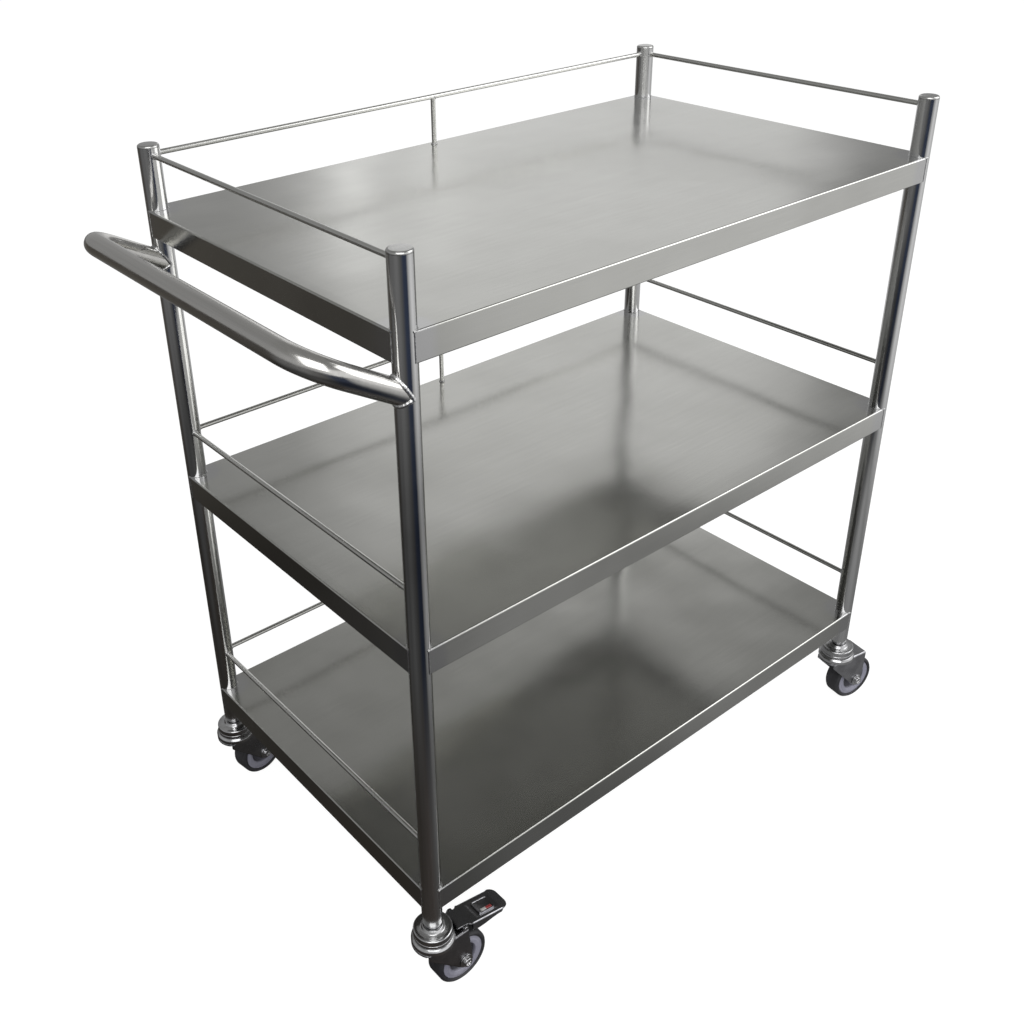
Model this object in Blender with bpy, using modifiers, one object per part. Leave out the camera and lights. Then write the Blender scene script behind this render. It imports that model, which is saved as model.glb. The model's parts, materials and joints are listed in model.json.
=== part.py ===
"""Instrument cart: three folded sheet trays welded between four round posts on swivel castors.

Frame: X runs along the cart with the push handle at -X, Y runs across it with the open long side at
-Y, Z is up and the floor is z = 0. The origin is on the floor under the middle of the cart.
All sizes are in metres.
"""
import math

import bmesh
import bpy
from mathutils import Vector

# --- Driving dimensions -------------------------------------------------------------------------
GAP = 0.0003                     # clearance between touching pieces

POST_SPACING_X = 0.830           # between post centres along the cart
POST_SPACING_Y = 0.480           # between post centres across the cart
TUBE_RADIUS = 0.0127             # posts and handle, 1 inch tube
TUBE_WALL = 0.0012
POST_BOTTOM = 0.125
POST_TOP = 0.980
CAP_HEIGHT = 0.003
SPIGOT_LENGTH = 0.012            # part of the cap inside the tube
SOCKET_LENGTH = 0.030            # threaded castor socket inside the tube's foot

SHELF_TOPS = {"top": 0.904, "middle": 0.544, "bottom": 0.184}
SHEET = 0.0012
APRON_HEIGHT = 0.0325
APRON_RETURN = 0.009             # bottom hem folded inwards
FOLD_RADIUS = 0.002

ROD_RADIUS = 0.0032              # guard rails, 1/4 inch rod
RAIL_HEIGHT = 0.064              # rail centre above its shelf

HANDLE_DROP = 0.0663             # weld on the post, below the top shelf
HANDLE_REACH = 0.098             # bar centre out from the post centres
HANDLE_BAR_DROP = 0.0105         # bar centre below the top shelf
HANDLE_TAPER = 0.010             # each leg leans in by this much
HANDLE_BEND = 0.0455             # centre-line bend radius

WHEEL_RADIUS = 0.0375
TYRE_HALF_WIDTH = 0.014
TYRE_INNER = 0.0311
TRAIL = 0.036                    # axle behind the swivel axis
STEM_RADIUS = 0.006
AXLE_RADIUS = 0.004
RACE_RADIUS = 0.0275             # lower, swivelling race
TOP_RACE_RADIUS = 0.0245         # upper race, fixed to the stem
CROWN_TOP = 0.0905
FORK_SHEET = 0.0025
FORK_HALF_WIDTH = 0.0185
CROWN_REAR = 0.048               # rear edge of the fork
CROWN_REAR_BRAKED = 0.042        # cut short behind the pedal's pin
EYE_RADIUS = 0.0105

PEDAL_PIVOT = (0.038, 0.0935)    # x and z of the hinge pin in the castor's own frame
PEDAL_SLOPE = math.radians(11.5) # how far the pedal dips at rest
PEDAL_PRESS = math.radians(7.0)  # how far a foot pushes it down
PEDAL_REACH = 0.072              # from the pin to the pedal's tip
PEDAL_HALF_WIDTH = 0.018
PEDAL_NECK = 0.0145              # half width between the lugs
PEDAL_TOP = 0.0032               # top of the sheet above the pin's axis
PEDAL_SHEET = 0.002
RACE_CLEARANCE = 0.002           # between the lower race and the pedal's heel
PIN_RADIUS = 0.002

ROUND = 20                       # facets round a tube or wheel
ROUND_CUT = 32                   # facets round the space cut for a tube or wheel
ROUND_SMALL = 12                 # facets round a rod, bolt or pin

CORNERS = {                      # x side, y side, direction in which the castor trails, brake fitted
    "front_left": (-1, -1, 0.0, True),
    "back_left": (-1, 1, 8.0, False),
    "back_right": (1, 1, -12.0, True),
    "front_right": (1, -1, -10.0, False),
}

# --- Scene, materials and small builders --------------------------------------------------------
for old in list(bpy.data.objects):
    bpy.data.objects.remove(old, do_unlink=True)

PARTS = bpy.data.collections.new("instrument_cart")
CUTTERS = bpy.data.collections.new("cutters")
CORNER_CUTTERS = bpy.data.collections.new("corner_cutters")
for group in (PARTS, CUTTERS, CORNER_CUTTERS):
    bpy.context.scene.collection.children.link(group)


def material(name, colour, roughness, metallic):
    """Principled material with one colour, roughness and metallic value."""
    made = bpy.data.materials.new(name)
    made.use_nodes = True
    shader = made.node_tree.nodes["Principled BSDF"]
    shader.inputs["Base Color"].default_value = (*colour, 1.0)
    shader.inputs["Roughness"].default_value = roughness
    shader.inputs["Metallic"].default_value = metallic
    return made


SATIN_STEEL = material("satin_steel", (0.56, 0.56, 0.54), 0.34, 1.0)
POLISHED_STEEL = material("polished_steel", (0.66, 0.66, 0.66), 0.16, 1.0)
CHROME_PLATE = material("chrome_plate", (0.72, 0.72, 0.74), 0.10, 1.0)
TYRE_RUBBER = material("tyre_rubber", (0.10, 0.10, 0.11), 0.65, 0.0)
WHEEL_PLASTIC = material("wheel_plastic", (0.47, 0.47, 0.53), 0.45, 0.0)
BRAKE_RUBBER = material("brake_rubber", (0.05, 0.05, 0.05), 0.70, 0.0)


def add_part(name, mesh, finish, parent=None):
    """Link a named piece to the parts collection with its material."""
    part = bpy.data.objects.new(name, mesh)
    part.data.materials.append(finish)
    PARTS.objects.link(part)
    part.parent = parent
    return part


def add_cutter(name, mesh, group=CUTTERS, parent=None):
    """Link a cutting shape, hidden from the render."""
    cutter = bpy.data.objects.new(name, mesh)
    group.objects.link(cutter)
    cutter.hide_render = True
    cutter.display_type = "WIRE"
    cutter.parent = parent
    return cutter


def add_empty(name, location, turn=(0.0, 0.0, 0.0), parent=None):
    """Empty that marks a joint axis."""
    empty = bpy.data.objects.new(name, None)
    empty.empty_display_size = 0.02
    empty.location = location
    empty.rotation_euler = turn
    empty.parent = parent
    bpy.context.scene.collection.objects.link(empty)
    return empty


def boolean(part, cutter, operation="DIFFERENCE"):
    """Exact Boolean with one object or a whole collection."""
    modifier = part.modifiers.new(operation.lower(), "BOOLEAN")
    modifier.operation = operation
    if isinstance(cutter, bpy.types.Collection):
        modifier.operand_type = "COLLECTION"
        modifier.collection = cutter
    else:
        modifier.object = cutter


def shade_round(mesh, angle=40.0):
    """Smooth shading that keeps hard edges."""
    mesh.shade_smooth()
    mesh.set_sharp_from_angle(angle=math.radians(angle))


def rod_mesh(name, radius, length, facets=ROUND):
    """Cylinder centred on the origin along Z."""
    mesh = bpy.data.meshes.new(name)
    shape = bmesh.new()
    bmesh.ops.create_cone(shape, cap_ends=True, segments=facets, radius1=radius, radius2=radius, depth=length)
    shape.to_mesh(mesh)
    shape.free()
    shade_round(mesh)
    return mesh


def box_mesh(name, low, high):
    """Box between two opposite corners."""
    mesh = bpy.data.meshes.new(name)
    shape = bmesh.new()
    bmesh.ops.create_cube(shape, size=1.0)
    size = Vector(high) - Vector(low)
    bmesh.ops.scale(shape, vec=size, verts=shape.verts)
    bmesh.ops.translate(shape, vec=Vector(low) + size / 2, verts=shape.verts)
    shape.to_mesh(mesh)
    shape.free()
    return mesh


def place_between(part, start, end):
    """Turn a part made along Z so that it runs from start to end."""
    run = Vector(end) - Vector(start)
    part.location = Vector(start) + run / 2
    part.rotation_mode = "QUATERNION"
    part.rotation_quaternion = run.to_track_quat("Z", "Y")


def turned(name, profile, finish, parent=None, closed=False, facets=ROUND):
    """Turn a profile of (radius, height) points round Z. A closed profile makes a ring."""
    mesh = bpy.data.meshes.new(name)
    shape = bmesh.new()
    points = [shape.verts.new((radius, 0.0, height)) for radius, height in profile]
    for first, second in zip(points, points[1:]):
        shape.edges.new((first, second))
    if closed:
        shape.edges.new((points[-1], points[0]))
    shape.to_mesh(mesh)
    shape.free()
    part = add_part(name, mesh, finish, parent)
    screw = part.modifiers.new("screw", "SCREW")
    screw.axis = "Z"
    screw.steps = facets
    screw.render_steps = facets
    screw.use_merge_vertices = True
    screw.merge_threshold = 0.00005
    screw.use_smooth_shade = True
    return part


def prism(name, outline, half_depth, parent=None):
    """Cutter: a flat outline in its own XY plane, extruded half_depth each way along Z."""
    curve = bpy.data.curves.new(name, "CURVE")
    curve.dimensions = "2D"
    curve.fill_mode = "BOTH"
    curve.extrude = half_depth
    spline = curve.splines.new("POLY")
    spline.points.add(len(outline) - 1)
    for point, (x, y) in zip(spline.points, outline):
        point.co = (x, y, 0.0, 1.0)
    spline.use_cyclic_u = True
    drawn = bpy.data.objects.new(name + "_outline", curve)
    CUTTERS.objects.link(drawn)
    bpy.context.view_layer.update()
    mesh = bpy.data.meshes.new_from_object(drawn.evaluated_get(bpy.context.evaluated_depsgraph_get()))
    bpy.data.objects.remove(drawn)
    bpy.data.curves.remove(curve)
    shape = bmesh.new()
    shape.from_mesh(mesh)
    bmesh.ops.remove_doubles(shape, verts=shape.verts, dist=0.00001)
    bmesh.ops.recalc_face_normals(shape, faces=shape.faces)
    shape.to_mesh(mesh)
    shape.free()
    return add_cutter(name, mesh, parent=parent)


def arc(centre, radius, start, end, count):
    """Points on a circle from start to end, in degrees."""
    step = (end - start) / (count - 1)
    angles = [math.radians(start + step * index) for index in range(count)]
    return [(centre[0] + radius * math.cos(a), centre[1] + radius * math.sin(a)) for a in angles]


# --- Posts, caps and castor sockets -------------------------------------------------------------
def corner_xy(corner):
    """Post centre in plan."""
    side_x, side_y = CORNERS[corner][:2]
    return side_x * POST_SPACING_X / 2, side_y * POST_SPACING_Y / 2


def make_post(corner):
    """Round tube, open at both ends until its cap and socket go in."""
    bore = TUBE_RADIUS - TUBE_WALL
    top = POST_TOP - CAP_HEIGHT - GAP
    x, y = corner_xy(corner)
    post = turned(f"post_{corner}",
                  [(TUBE_RADIUS, top), (TUBE_RADIUS, POST_BOTTOM), (bore, POST_BOTTOM), (bore, top)],
                  POLISHED_STEEL, closed=True)
    post.location = (x, y, 0.0)

    fit = bore - GAP
    seat = POST_TOP - CAP_HEIGHT
    cap = turned(f"post_cap_{corner}",
                 [(0.0, POST_TOP), (TUBE_RADIUS - 0.002, POST_TOP), (TUBE_RADIUS - 0.0006, POST_TOP - 0.0006),
                  (TUBE_RADIUS, POST_TOP - 0.002), (TUBE_RADIUS, seat), (fit, seat),
                  (fit, seat - SPIGOT_LENGTH), (0.0, seat - SPIGOT_LENGTH)],
                 POLISHED_STEEL)
    cap.location = (x, y, 0.0)

    hole = STEM_RADIUS + GAP
    socket = turned(f"castor_socket_{corner}",
                    [(fit, POST_BOTTOM + SOCKET_LENGTH), (fit, POST_BOTTOM),
                     (hole, POST_BOTTOM), (hole, POST_BOTTOM + SOCKET_LENGTH)],
                    CHROME_PLATE, closed=True, facets=16)
    socket.location = (x, y, 0.0)


def make_corner_cutters():
    """At each post a cylinder just larger than the tube, and a block that takes off the tray's corner."""
    radius = TUBE_RADIUS + GAP
    height = POST_TOP - POST_BOTTOM
    middle = (POST_TOP + POST_BOTTOM) / 2
    for corner, (side_x, side_y, _, _) in CORNERS.items():
        x, y = corner_xy(corner)
        cylinder = add_cutter(f"post_space_{corner}", rod_mesh(f"post_space_{corner}", radius, height, ROUND_CUT),
                              CORNER_CUTTERS)
        cylinder.location = (x, y, middle)
        reach = TUBE_RADIUS + 0.003
        low = (min(0.0, side_x * reach), min(0.0, side_y * reach), -height / 2)
        high = (max(0.0, side_x * reach), max(0.0, side_y * reach), height / 2)
        block = add_cutter(f"corner_block_{corner}", box_mesh(f"corner_block_{corner}", low, high),
                           CORNER_CUTTERS)
        block.location = (x, y, middle)


# --- Trays and guard rails ----------------------------------------------------------------------
def make_shelf(level, top):
    """Folded sheet tray: flat top, four aprons and a small hem, notched round the posts."""
    half_x = POST_SPACING_X / 2 + TUBE_RADIUS
    half_y = POST_SPACING_Y / 2 + TUBE_RADIUS
    mesh = box_mesh(f"shelf_{level}", (-half_x, -half_y, -APRON_HEIGHT), (half_x, half_y, 0.0))
    shape = bmesh.new()
    shape.from_mesh(mesh)
    bottom = [face for face in shape.faces if face.normal.z < -0.5]
    bmesh.ops.delete(shape, geom=bottom, context="FACES")
    rim = [edge for edge in shape.edges if edge.is_boundary]
    hem = bmesh.ops.extrude_edge_only(shape, edges=rim)["geom"]
    for vert in (item for item in hem if isinstance(item, bmesh.types.BMVert)):
        vert.co.x -= math.copysign(APRON_RETURN, vert.co.x)
        vert.co.y -= math.copysign(APRON_RETURN, vert.co.y)
    folds = [edge for edge in shape.edges
             if all(abs(vert.co.z) < 1e-6 for vert in edge.verts)]
    bmesh.ops.bevel(shape, geom=folds, offset=FOLD_RADIUS, segments=3, profile=0.5, affect="EDGES")
    bmesh.ops.recalc_face_normals(shape, faces=shape.faces)
    shape.to_mesh(mesh)
    shape.free()
    shelf = add_part(f"shelf_{level}", mesh, SATIN_STEEL)
    shelf.location = (0.0, 0.0, top)
    wall = shelf.modifiers.new("sheet", "SOLIDIFY")
    wall.thickness = SHEET
    wall.offset = -1.0
    wall.use_even_offset = True
    boolean(shelf, CORNER_CUTTERS)


def make_rod(name, start, end):
    """Straight round rod with flat ends."""
    length = (Vector(end) - Vector(start)).length
    rod = add_part(name, rod_mesh(name, ROD_RADIUS, length, ROUND_SMALL), POLISHED_STEEL)
    place_between(rod, start, end)


def make_rails(level, top):
    """Rails on the handle end, the closed long side and the far end, and the upright at mid length."""
    z = top + RAIL_HEIGHT
    x, y = POST_SPACING_X / 2, POST_SPACING_Y / 2
    end = TUBE_RADIUS + GAP
    make_rod(f"rail_{level}_left", (-x, -y + end, z), (-x, y - end, z))
    make_rod(f"rail_{level}_back", (-x + end, y, z), (x - end, y, z))
    make_rod(f"rail_{level}_right", (x, -y + end, z), (x, y - end, z))
    make_rod(f"rail_upright_{level}", (0.0, y, top + GAP), (0.0, y, z - ROD_RADIUS - GAP))


# --- Push handle --------------------------------------------------------------------------------
def rounded_corner(before, corner, after, radius, count=7):
    """Points on the arc that rounds a corner between two straight runs."""
    to_start = (before - corner).normalized()
    to_end = (after - corner).normalized()
    angle = to_start.angle(to_end)
    setback = radius / math.tan(angle / 2)
    centre = corner + (to_start + to_end).normalized() * radius / math.sin(angle / 2)
    first = corner + to_start * setback - centre
    last = corner + to_end * setback - centre
    sweep = first.angle(last)
    arc_points = []
    for index in range(count):
        share = index / (count - 1)
        mix = (first * math.sin((1 - share) * sweep) + last * math.sin(share * sweep)) / math.sin(sweep)
        arc_points.append(centre + mix)
    return arc_points


def make_handle():
    """U-shaped tube, tilted up, with its ends coped to the two posts at the handle end."""
    shelf = SHELF_TOPS["top"]
    x, y = -POST_SPACING_X / 2, POST_SPACING_Y / 2
    front = Vector((x, -y, shelf - HANDLE_DROP))
    front_bend = Vector((x - HANDLE_REACH, -y + HANDLE_TAPER, shelf - HANDLE_BAR_DROP))
    back_bend = Vector((front_bend.x, -front_bend.y, front_bend.z))
    back = Vector((front.x, -front.y, front.z))
    route = [front]
    route += rounded_corner(front, front_bend, back_bend, HANDLE_BEND)
    route += rounded_corner(front_bend, back_bend, back, HANDLE_BEND)
    route.append(back)

    curve = bpy.data.curves.new("push_handle", "CURVE")
    curve.dimensions = "3D"
    curve.bevel_depth = TUBE_RADIUS
    curve.bevel_resolution = 6
    curve.use_fill_caps = False
    spline = curve.splines.new("POLY")
    spline.points.add(len(route) - 1)
    for point, place in zip(spline.points, route):
        point.co = (*place, 1.0)
    drawn = bpy.data.objects.new("handle_route", curve)
    CUTTERS.objects.link(drawn)
    bpy.context.view_layer.update()
    mesh = bpy.data.meshes.new_from_object(drawn.evaluated_get(bpy.context.evaluated_depsgraph_get()))
    bpy.data.objects.remove(drawn)
    bpy.data.curves.remove(curve)
    shape = bmesh.new()
    shape.from_mesh(mesh)
    bmesh.ops.remove_doubles(shape, verts=shape.verts, dist=0.00001)
    bmesh.ops.recalc_face_normals(shape, faces=shape.faces)
    shape.to_mesh(mesh)
    shape.free()
    shade_round(mesh)
    mesh.name = "push_handle"
    handle = add_part("push_handle", mesh, POLISHED_STEEL)
    wall = handle.modifiers.new("wall", "SOLIDIFY")
    wall.thickness = TUBE_WALL
    wall.offset = -1.0
    boolean(handle, CORNER_CUTTERS)


# --- Castors ------------------------------------------------------------------------------------
def make_stem(corner, foot):
    """Threaded stem with its neck ring above the races and a rivet head under the fork."""
    neck_top = POST_BOTTOM - GAP
    turned(f"castor_stem_{corner}",
           [(0.0, POST_BOTTOM + 0.027), (STEM_RADIUS - 0.001, POST_BOTTOM + 0.027),
            (STEM_RADIUS, POST_BOTTOM + 0.026), (STEM_RADIUS, neck_top), (0.0095, neck_top),
            (0.0105, neck_top - 0.001), (0.0105, 0.1195), (0.0095, 0.1185), (STEM_RADIUS, 0.1185),
            (STEM_RADIUS, CROWN_TOP - 0.0028), (0.0090, CROWN_TOP - 0.0028), (0.0085, CROWN_TOP - 0.0060),
            (0.0060, CROWN_TOP - 0.0075), (0.0, CROWN_TOP - 0.0075)],
           CHROME_PLATE, foot, facets=ROUND_SMALL)


def make_races(corner, foot, swivel):
    """Two stacked bearing races: the upper is fixed to the stem, the lower turns with the fork."""
    hole = STEM_RADIUS + GAP
    turned(f"castor_upper_race_{corner}",
           [(hole, 0.1182), (0.0125, 0.1182), (0.0150, 0.1145), (0.0215, 0.1130), (0.0238, 0.1130),
            (TOP_RACE_RADIUS, 0.1120), (TOP_RACE_RADIUS, 0.1012), (TOP_RACE_RADIUS - 0.001, 0.1000),
            (hole, 0.1000)],
           CHROME_PLATE, foot, closed=True)
    turned(f"castor_lower_race_{corner}",
           [(hole, 0.0997), (0.0240, 0.0997), (0.0262, 0.0980), (RACE_RADIUS, 0.0962),
            (RACE_RADIUS, 0.0922), (0.0262, CROWN_TOP + GAP), (hole, CROWN_TOP + GAP)],
           CHROME_PLATE, swivel, closed=True)


def tangent_angle(point, centre, radius, side):
    """Direction from a circle's centre to where a line from the point touches it, in degrees."""
    run_x, run_z = point[0] - centre[0], point[1] - centre[1]
    spread = math.acos(radius / math.hypot(run_x, run_z))
    return math.degrees(math.atan2(run_z, run_x) + side * spread)


def folded_channel(name, section, x_start, x_end, thickness, finish, parent):
    """Open strip with the given (y, z) section, extruded along X and given a wall inwards."""
    mesh = bpy.data.meshes.new(name)
    shape = bmesh.new()
    near = [shape.verts.new((x_start, y, z)) for y, z in section]
    edges = [shape.edges.new(pair) for pair in zip(near, near[1:])]
    pulled = bmesh.ops.extrude_edge_only(shape, edges=edges)["geom"]
    verts = [item for item in pulled if isinstance(item, bmesh.types.BMVert)]
    bmesh.ops.translate(shape, vec=(x_end - x_start, 0.0, 0.0), verts=verts)
    for face in shape.faces:
        face.normal_update()
        outward = face.normal.z if abs(face.normal.z) > 0.3 else face.normal.y * face.calc_center_median().y
        if outward < 0:
            face.normal_flip()
    shape.to_mesh(mesh)
    shape.free()
    shade_round(mesh)
    channel = add_part(name, mesh, finish, parent)
    wall = channel.modifiers.new("sheet", "SOLIDIFY")
    wall.thickness = thickness
    wall.offset = -1.0
    wall.use_even_offset = True
    return channel


def channel_section(half_width, top, bottom, bend):
    """Upside-down U: two straight sides and a flat top with chamfered bends."""
    return [(-half_width, bottom), (-half_width, top - bend), (-half_width + bend, top),
            (half_width - bend, top), (half_width, top - bend), (half_width, bottom)]


def make_fork(corner, swivel, braked):
    """Pressed yoke: crown over the wheel, two legs down to the axle, and lugs for the pedal's pin."""
    axle = (TRAIL, WHEEL_RADIUS)
    section = channel_section(FORK_HALF_WIDTH, CROWN_TOP, 0.020, 0.002)
    fork = folded_channel(f"castor_fork_{corner}", section, -0.030, 0.055, FORK_SHEET, CHROME_PLATE, swivel)

    rear_x = CROWN_REAR_BRAKED if braked else CROWN_REAR
    front, rear = (-0.0240, CROWN_TOP - 0.0050), (rear_x, CROWN_TOP - 0.0075)
    touch_front = tangent_angle(front, axle, EYE_RADIUS, 1) - 360.0
    touch_rear = tangent_angle(rear, axle, EYE_RADIUS, -1)
    side = [(-0.0290, CROWN_TOP + 0.0015), (-0.0290, CROWN_TOP - 0.0033), front]
    side += arc(axle, EYE_RADIUS, touch_front + 360.0, touch_rear + 360.0, 9)
    side += [rear, (rear_x, CROWN_TOP + 0.0015)]
    side_shape = prism(f"fork_side_{corner}", side, 0.030, swivel)
    side_shape.rotation_euler = (math.pi / 2, 0.0, 0.0)
    boolean(fork, side_shape, "INTERSECT")

    nose = math.degrees(math.asin((FORK_HALF_WIDTH + 0.001) / RACE_RADIUS))
    plan = arc((0.0, 0.0), RACE_RADIUS, 180.0 - nose, 180.0 + nose, 9)
    plan += [(0.052, -FORK_HALF_WIDTH - 0.001), (0.052, FORK_HALF_WIDTH + 0.001)]
    boolean(fork, prism(f"fork_plan_{corner}", plan, 0.100, swivel), "INTERSECT")

    if braked:
        pin_x, pin_z = PEDAL_PIVOT
        for side_y, hand in ((1, "left"), (-1, "right")):
            inner, outer = side_y * 0.0153, side_y * 0.0173
            lug = box_mesh(f"lug_{hand}_{corner}", (pin_x - 0.0045, min(inner, outer), CROWN_TOP - 0.001),
                           (pin_x + 0.0045, max(inner, outer), pin_z + 0.0040))
            boolean(fork, add_cutter(f"lug_{hand}_{corner}", lug, parent=swivel), "UNION")
        pin_hole = add_cutter(f"pin_hole_{corner}", rod_mesh("pin_hole", PIN_RADIUS + GAP, 0.060, ROUND_SMALL),
                              parent=swivel)
        pin_hole.location = (pin_x, 0.0, pin_z)
        pin_hole.rotation_euler = (math.pi / 2, 0.0, 0.0)
        boolean(fork, pin_hole)

    stem_hole = add_cutter(f"stem_hole_{corner}", rod_mesh("stem_hole", STEM_RADIUS + GAP, 0.030), parent=swivel)
    stem_hole.location = (0.0, 0.0, CROWN_TOP)
    boolean(fork, stem_hole)
    axle_hole = add_cutter(f"axle_hole_{corner}", rod_mesh("axle_hole", AXLE_RADIUS + GAP, 0.060), parent=swivel)
    axle_hole.location = (axle[0], 0.0, axle[1])
    axle_hole.rotation_euler = (math.pi / 2, 0.0, 0.0)
    boolean(fork, axle_hole)


def make_wheel(corner, swivel):
    """Axle bolt with its nut, moulded wheel centre and tyre, all turned about the axle."""
    hub = add_empty(f"wheel_axis_{corner}", (TRAIL, 0.0, WHEEL_RADIUS), (math.pi / 2, 0.0, 0.0), swivel)
    grip = FORK_HALF_WIDTH + GAP
    turned(f"castor_axle_{corner}",
           [(0.0, grip + 0.0052), (0.0058, grip + 0.0052), (0.0068, grip + 0.0042), (0.0068, grip),
            (AXLE_RADIUS, grip), (AXLE_RADIUS, -grip), (0.0068, -grip), (0.0068, -grip - 0.0042),
            (0.0058, -grip - 0.0052), (0.0, -grip - 0.0052)],
           CHROME_PLATE, hub, facets=ROUND_SMALL)

    bore, rim = AXLE_RADIUS + GAP, TYRE_INNER - GAP
    half = [(bore, 0.0155), (0.0110, 0.0155), (0.0120, 0.0070), (0.0198, 0.0070), (0.0208, 0.0120), (rim, 0.0120)]
    turned(f"castor_wheel_{corner}", half + [(radius, -height) for radius, height in reversed(half)],
           WHEEL_PLASTIC, hub, closed=True)

    tread = [(TYRE_INNER, 0.0125), (0.0340, TYRE_HALF_WIDTH), (0.0364, 0.0125), (WHEEL_RADIUS, 0.0098)]
    turned(f"castor_tyre_{corner}", tread + [(radius, -height) for radius, height in reversed(tread)],
           TYRE_RUBBER, hub, closed=True)


def make_brake(corner, swivel):
    """Stamped foot pedal on a cross pin, with a shoe that meets the tyre when the pedal is pressed."""
    pin_x, pin_z = PEDAL_PIVOT
    pivot = add_empty(f"pedal_axis_{corner}", (pin_x, 0.0, pin_z), (0.0, PEDAL_SLOPE, 0.0), swivel)
    underside = PEDAL_TOP - PEDAL_SHEET

    section = channel_section(PEDAL_HALF_WIDTH, PEDAL_TOP, -0.022, 0.002)
    pedal = folded_channel(f"brake_pedal_{corner}", section, -0.020, PEDAL_REACH + 0.010, PEDAL_SHEET,
                           CHROME_PLATE, pivot)
    fold = underside - 0.0001
    side = [(-0.018, PEDAL_TOP + 0.001), (-0.018, fold), (0.0105, fold), (0.0115, -0.0015), (0.0125, -0.0120),
            (0.0300, -0.0110), (0.0590, -0.0060), (0.0620, -0.0010), (0.0630, fold),
            (PEDAL_REACH + 0.005, fold), (PEDAL_REACH + 0.005, PEDAL_TOP + 0.001)]
    side_shape = prism(f"pedal_side_{corner}", side, 0.030, pivot)
    side_shape.rotation_euler = (math.pi / 2, 0.0, 0.0)
    boolean(pedal, side_shape, "INTERSECT")

    heel_radius = RACE_RADIUS + RACE_CLEARANCE
    heel_angle = math.degrees(math.asin(PEDAL_NECK / heel_radius))
    wide = PEDAL_HALF_WIDTH + 0.001
    flank = [(0.0060, PEDAL_NECK), (0.0080, PEDAL_NECK + 0.0012), (0.0105, wide)]
    flank += arc((PEDAL_REACH - 0.010, wide - 0.010), 0.010, 90.0, 0.0, 4)
    plan = arc((-pin_x, 0.0), heel_radius, -heel_angle, heel_angle, 7)
    plan += flank + [(x, -y) for x, y in reversed(flank)]
    boolean(pedal, prism(f"pedal_plan_{corner}", plan, 0.040, pivot), "INTERSECT")

    barrel = turned(f"pedal_barrel_{corner}",
                    [(0.0, 0.0180), (PIN_RADIUS, 0.0180), (PIN_RADIUS, PEDAL_NECK), (0.0022, PEDAL_NECK),
                     (0.0022, -PEDAL_NECK), (PIN_RADIUS, -PEDAL_NECK), (PIN_RADIUS, -0.0180), (0.0, -0.0180)],
                    CHROME_PLATE, pivot, facets=ROUND_SMALL)
    PARTS.objects.unlink(barrel)
    CUTTERS.objects.link(barrel)
    barrel.hide_render = True
    barrel.display_type = "WIRE"
    barrel.rotation_euler = (math.pi / 2, 0.0, 0.0)
    boolean(pedal, barrel, "UNION")

    shoe = add_part(f"brake_shoe_{corner}",
                    box_mesh(f"brake_shoe_{corner}", (0.012, -0.010, -0.0210), (0.030, 0.010, underside - GAP)),
                    BRAKE_RUBBER, pivot)
    pressed = PEDAL_SLOPE + PEDAL_PRESS
    run_x, run_z = TRAIL - pin_x, WHEEL_RADIUS - pin_z
    tyre_space = add_cutter(f"tyre_space_{corner}", rod_mesh("tyre_space", WHEEL_RADIUS + 0.0005, 0.040, ROUND_CUT),
                            parent=pivot)
    tyre_space.location = (run_x * math.cos(pressed) - run_z * math.sin(pressed), 0.0,
                           run_x * math.sin(pressed) + run_z * math.cos(pressed))
    tyre_space.rotation_euler = (math.pi / 2, 0.0, 0.0)
    boolean(shoe, tyre_space)


def make_castor(corner):
    """Stem and upper race stay with the post; the rest swivels about the post's axis."""
    x, y = corner_xy(corner)
    heading, braked = CORNERS[corner][2:]
    foot = add_empty(f"castor_foot_{corner}", (x, y, 0.0))
    swivel = add_empty(f"swivel_axis_{corner}", (x, y, 0.0), (0.0, 0.0, math.radians(heading)))
    make_stem(corner, foot)
    make_races(corner, foot, swivel)
    make_fork(corner, swivel, braked)
    make_wheel(corner, swivel)
    if braked:
        make_brake(corner, swivel)


# --- Assembly -----------------------------------------------------------------------------------
make_corner_cutters()
for corner_name in CORNERS:
    make_post(corner_name)
for shelf_level, shelf_top in SHELF_TOPS.items():
    make_shelf(shelf_level, shelf_top)
    make_rails(shelf_level, shelf_top)
make_handle()
for corner_name in CORNERS:
    make_castor(corner_name)
bpy.context.view_layer.update()
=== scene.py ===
"""Looks of the stainless steel instrument cart: finer sheet, tube, rod and castor surfaces, the welds
between them, their finishes, and a pale studio floor with soft light.

Every size and place comes from the fixed frame's pieces and joints, in metres.
"""
import json
import math

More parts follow.
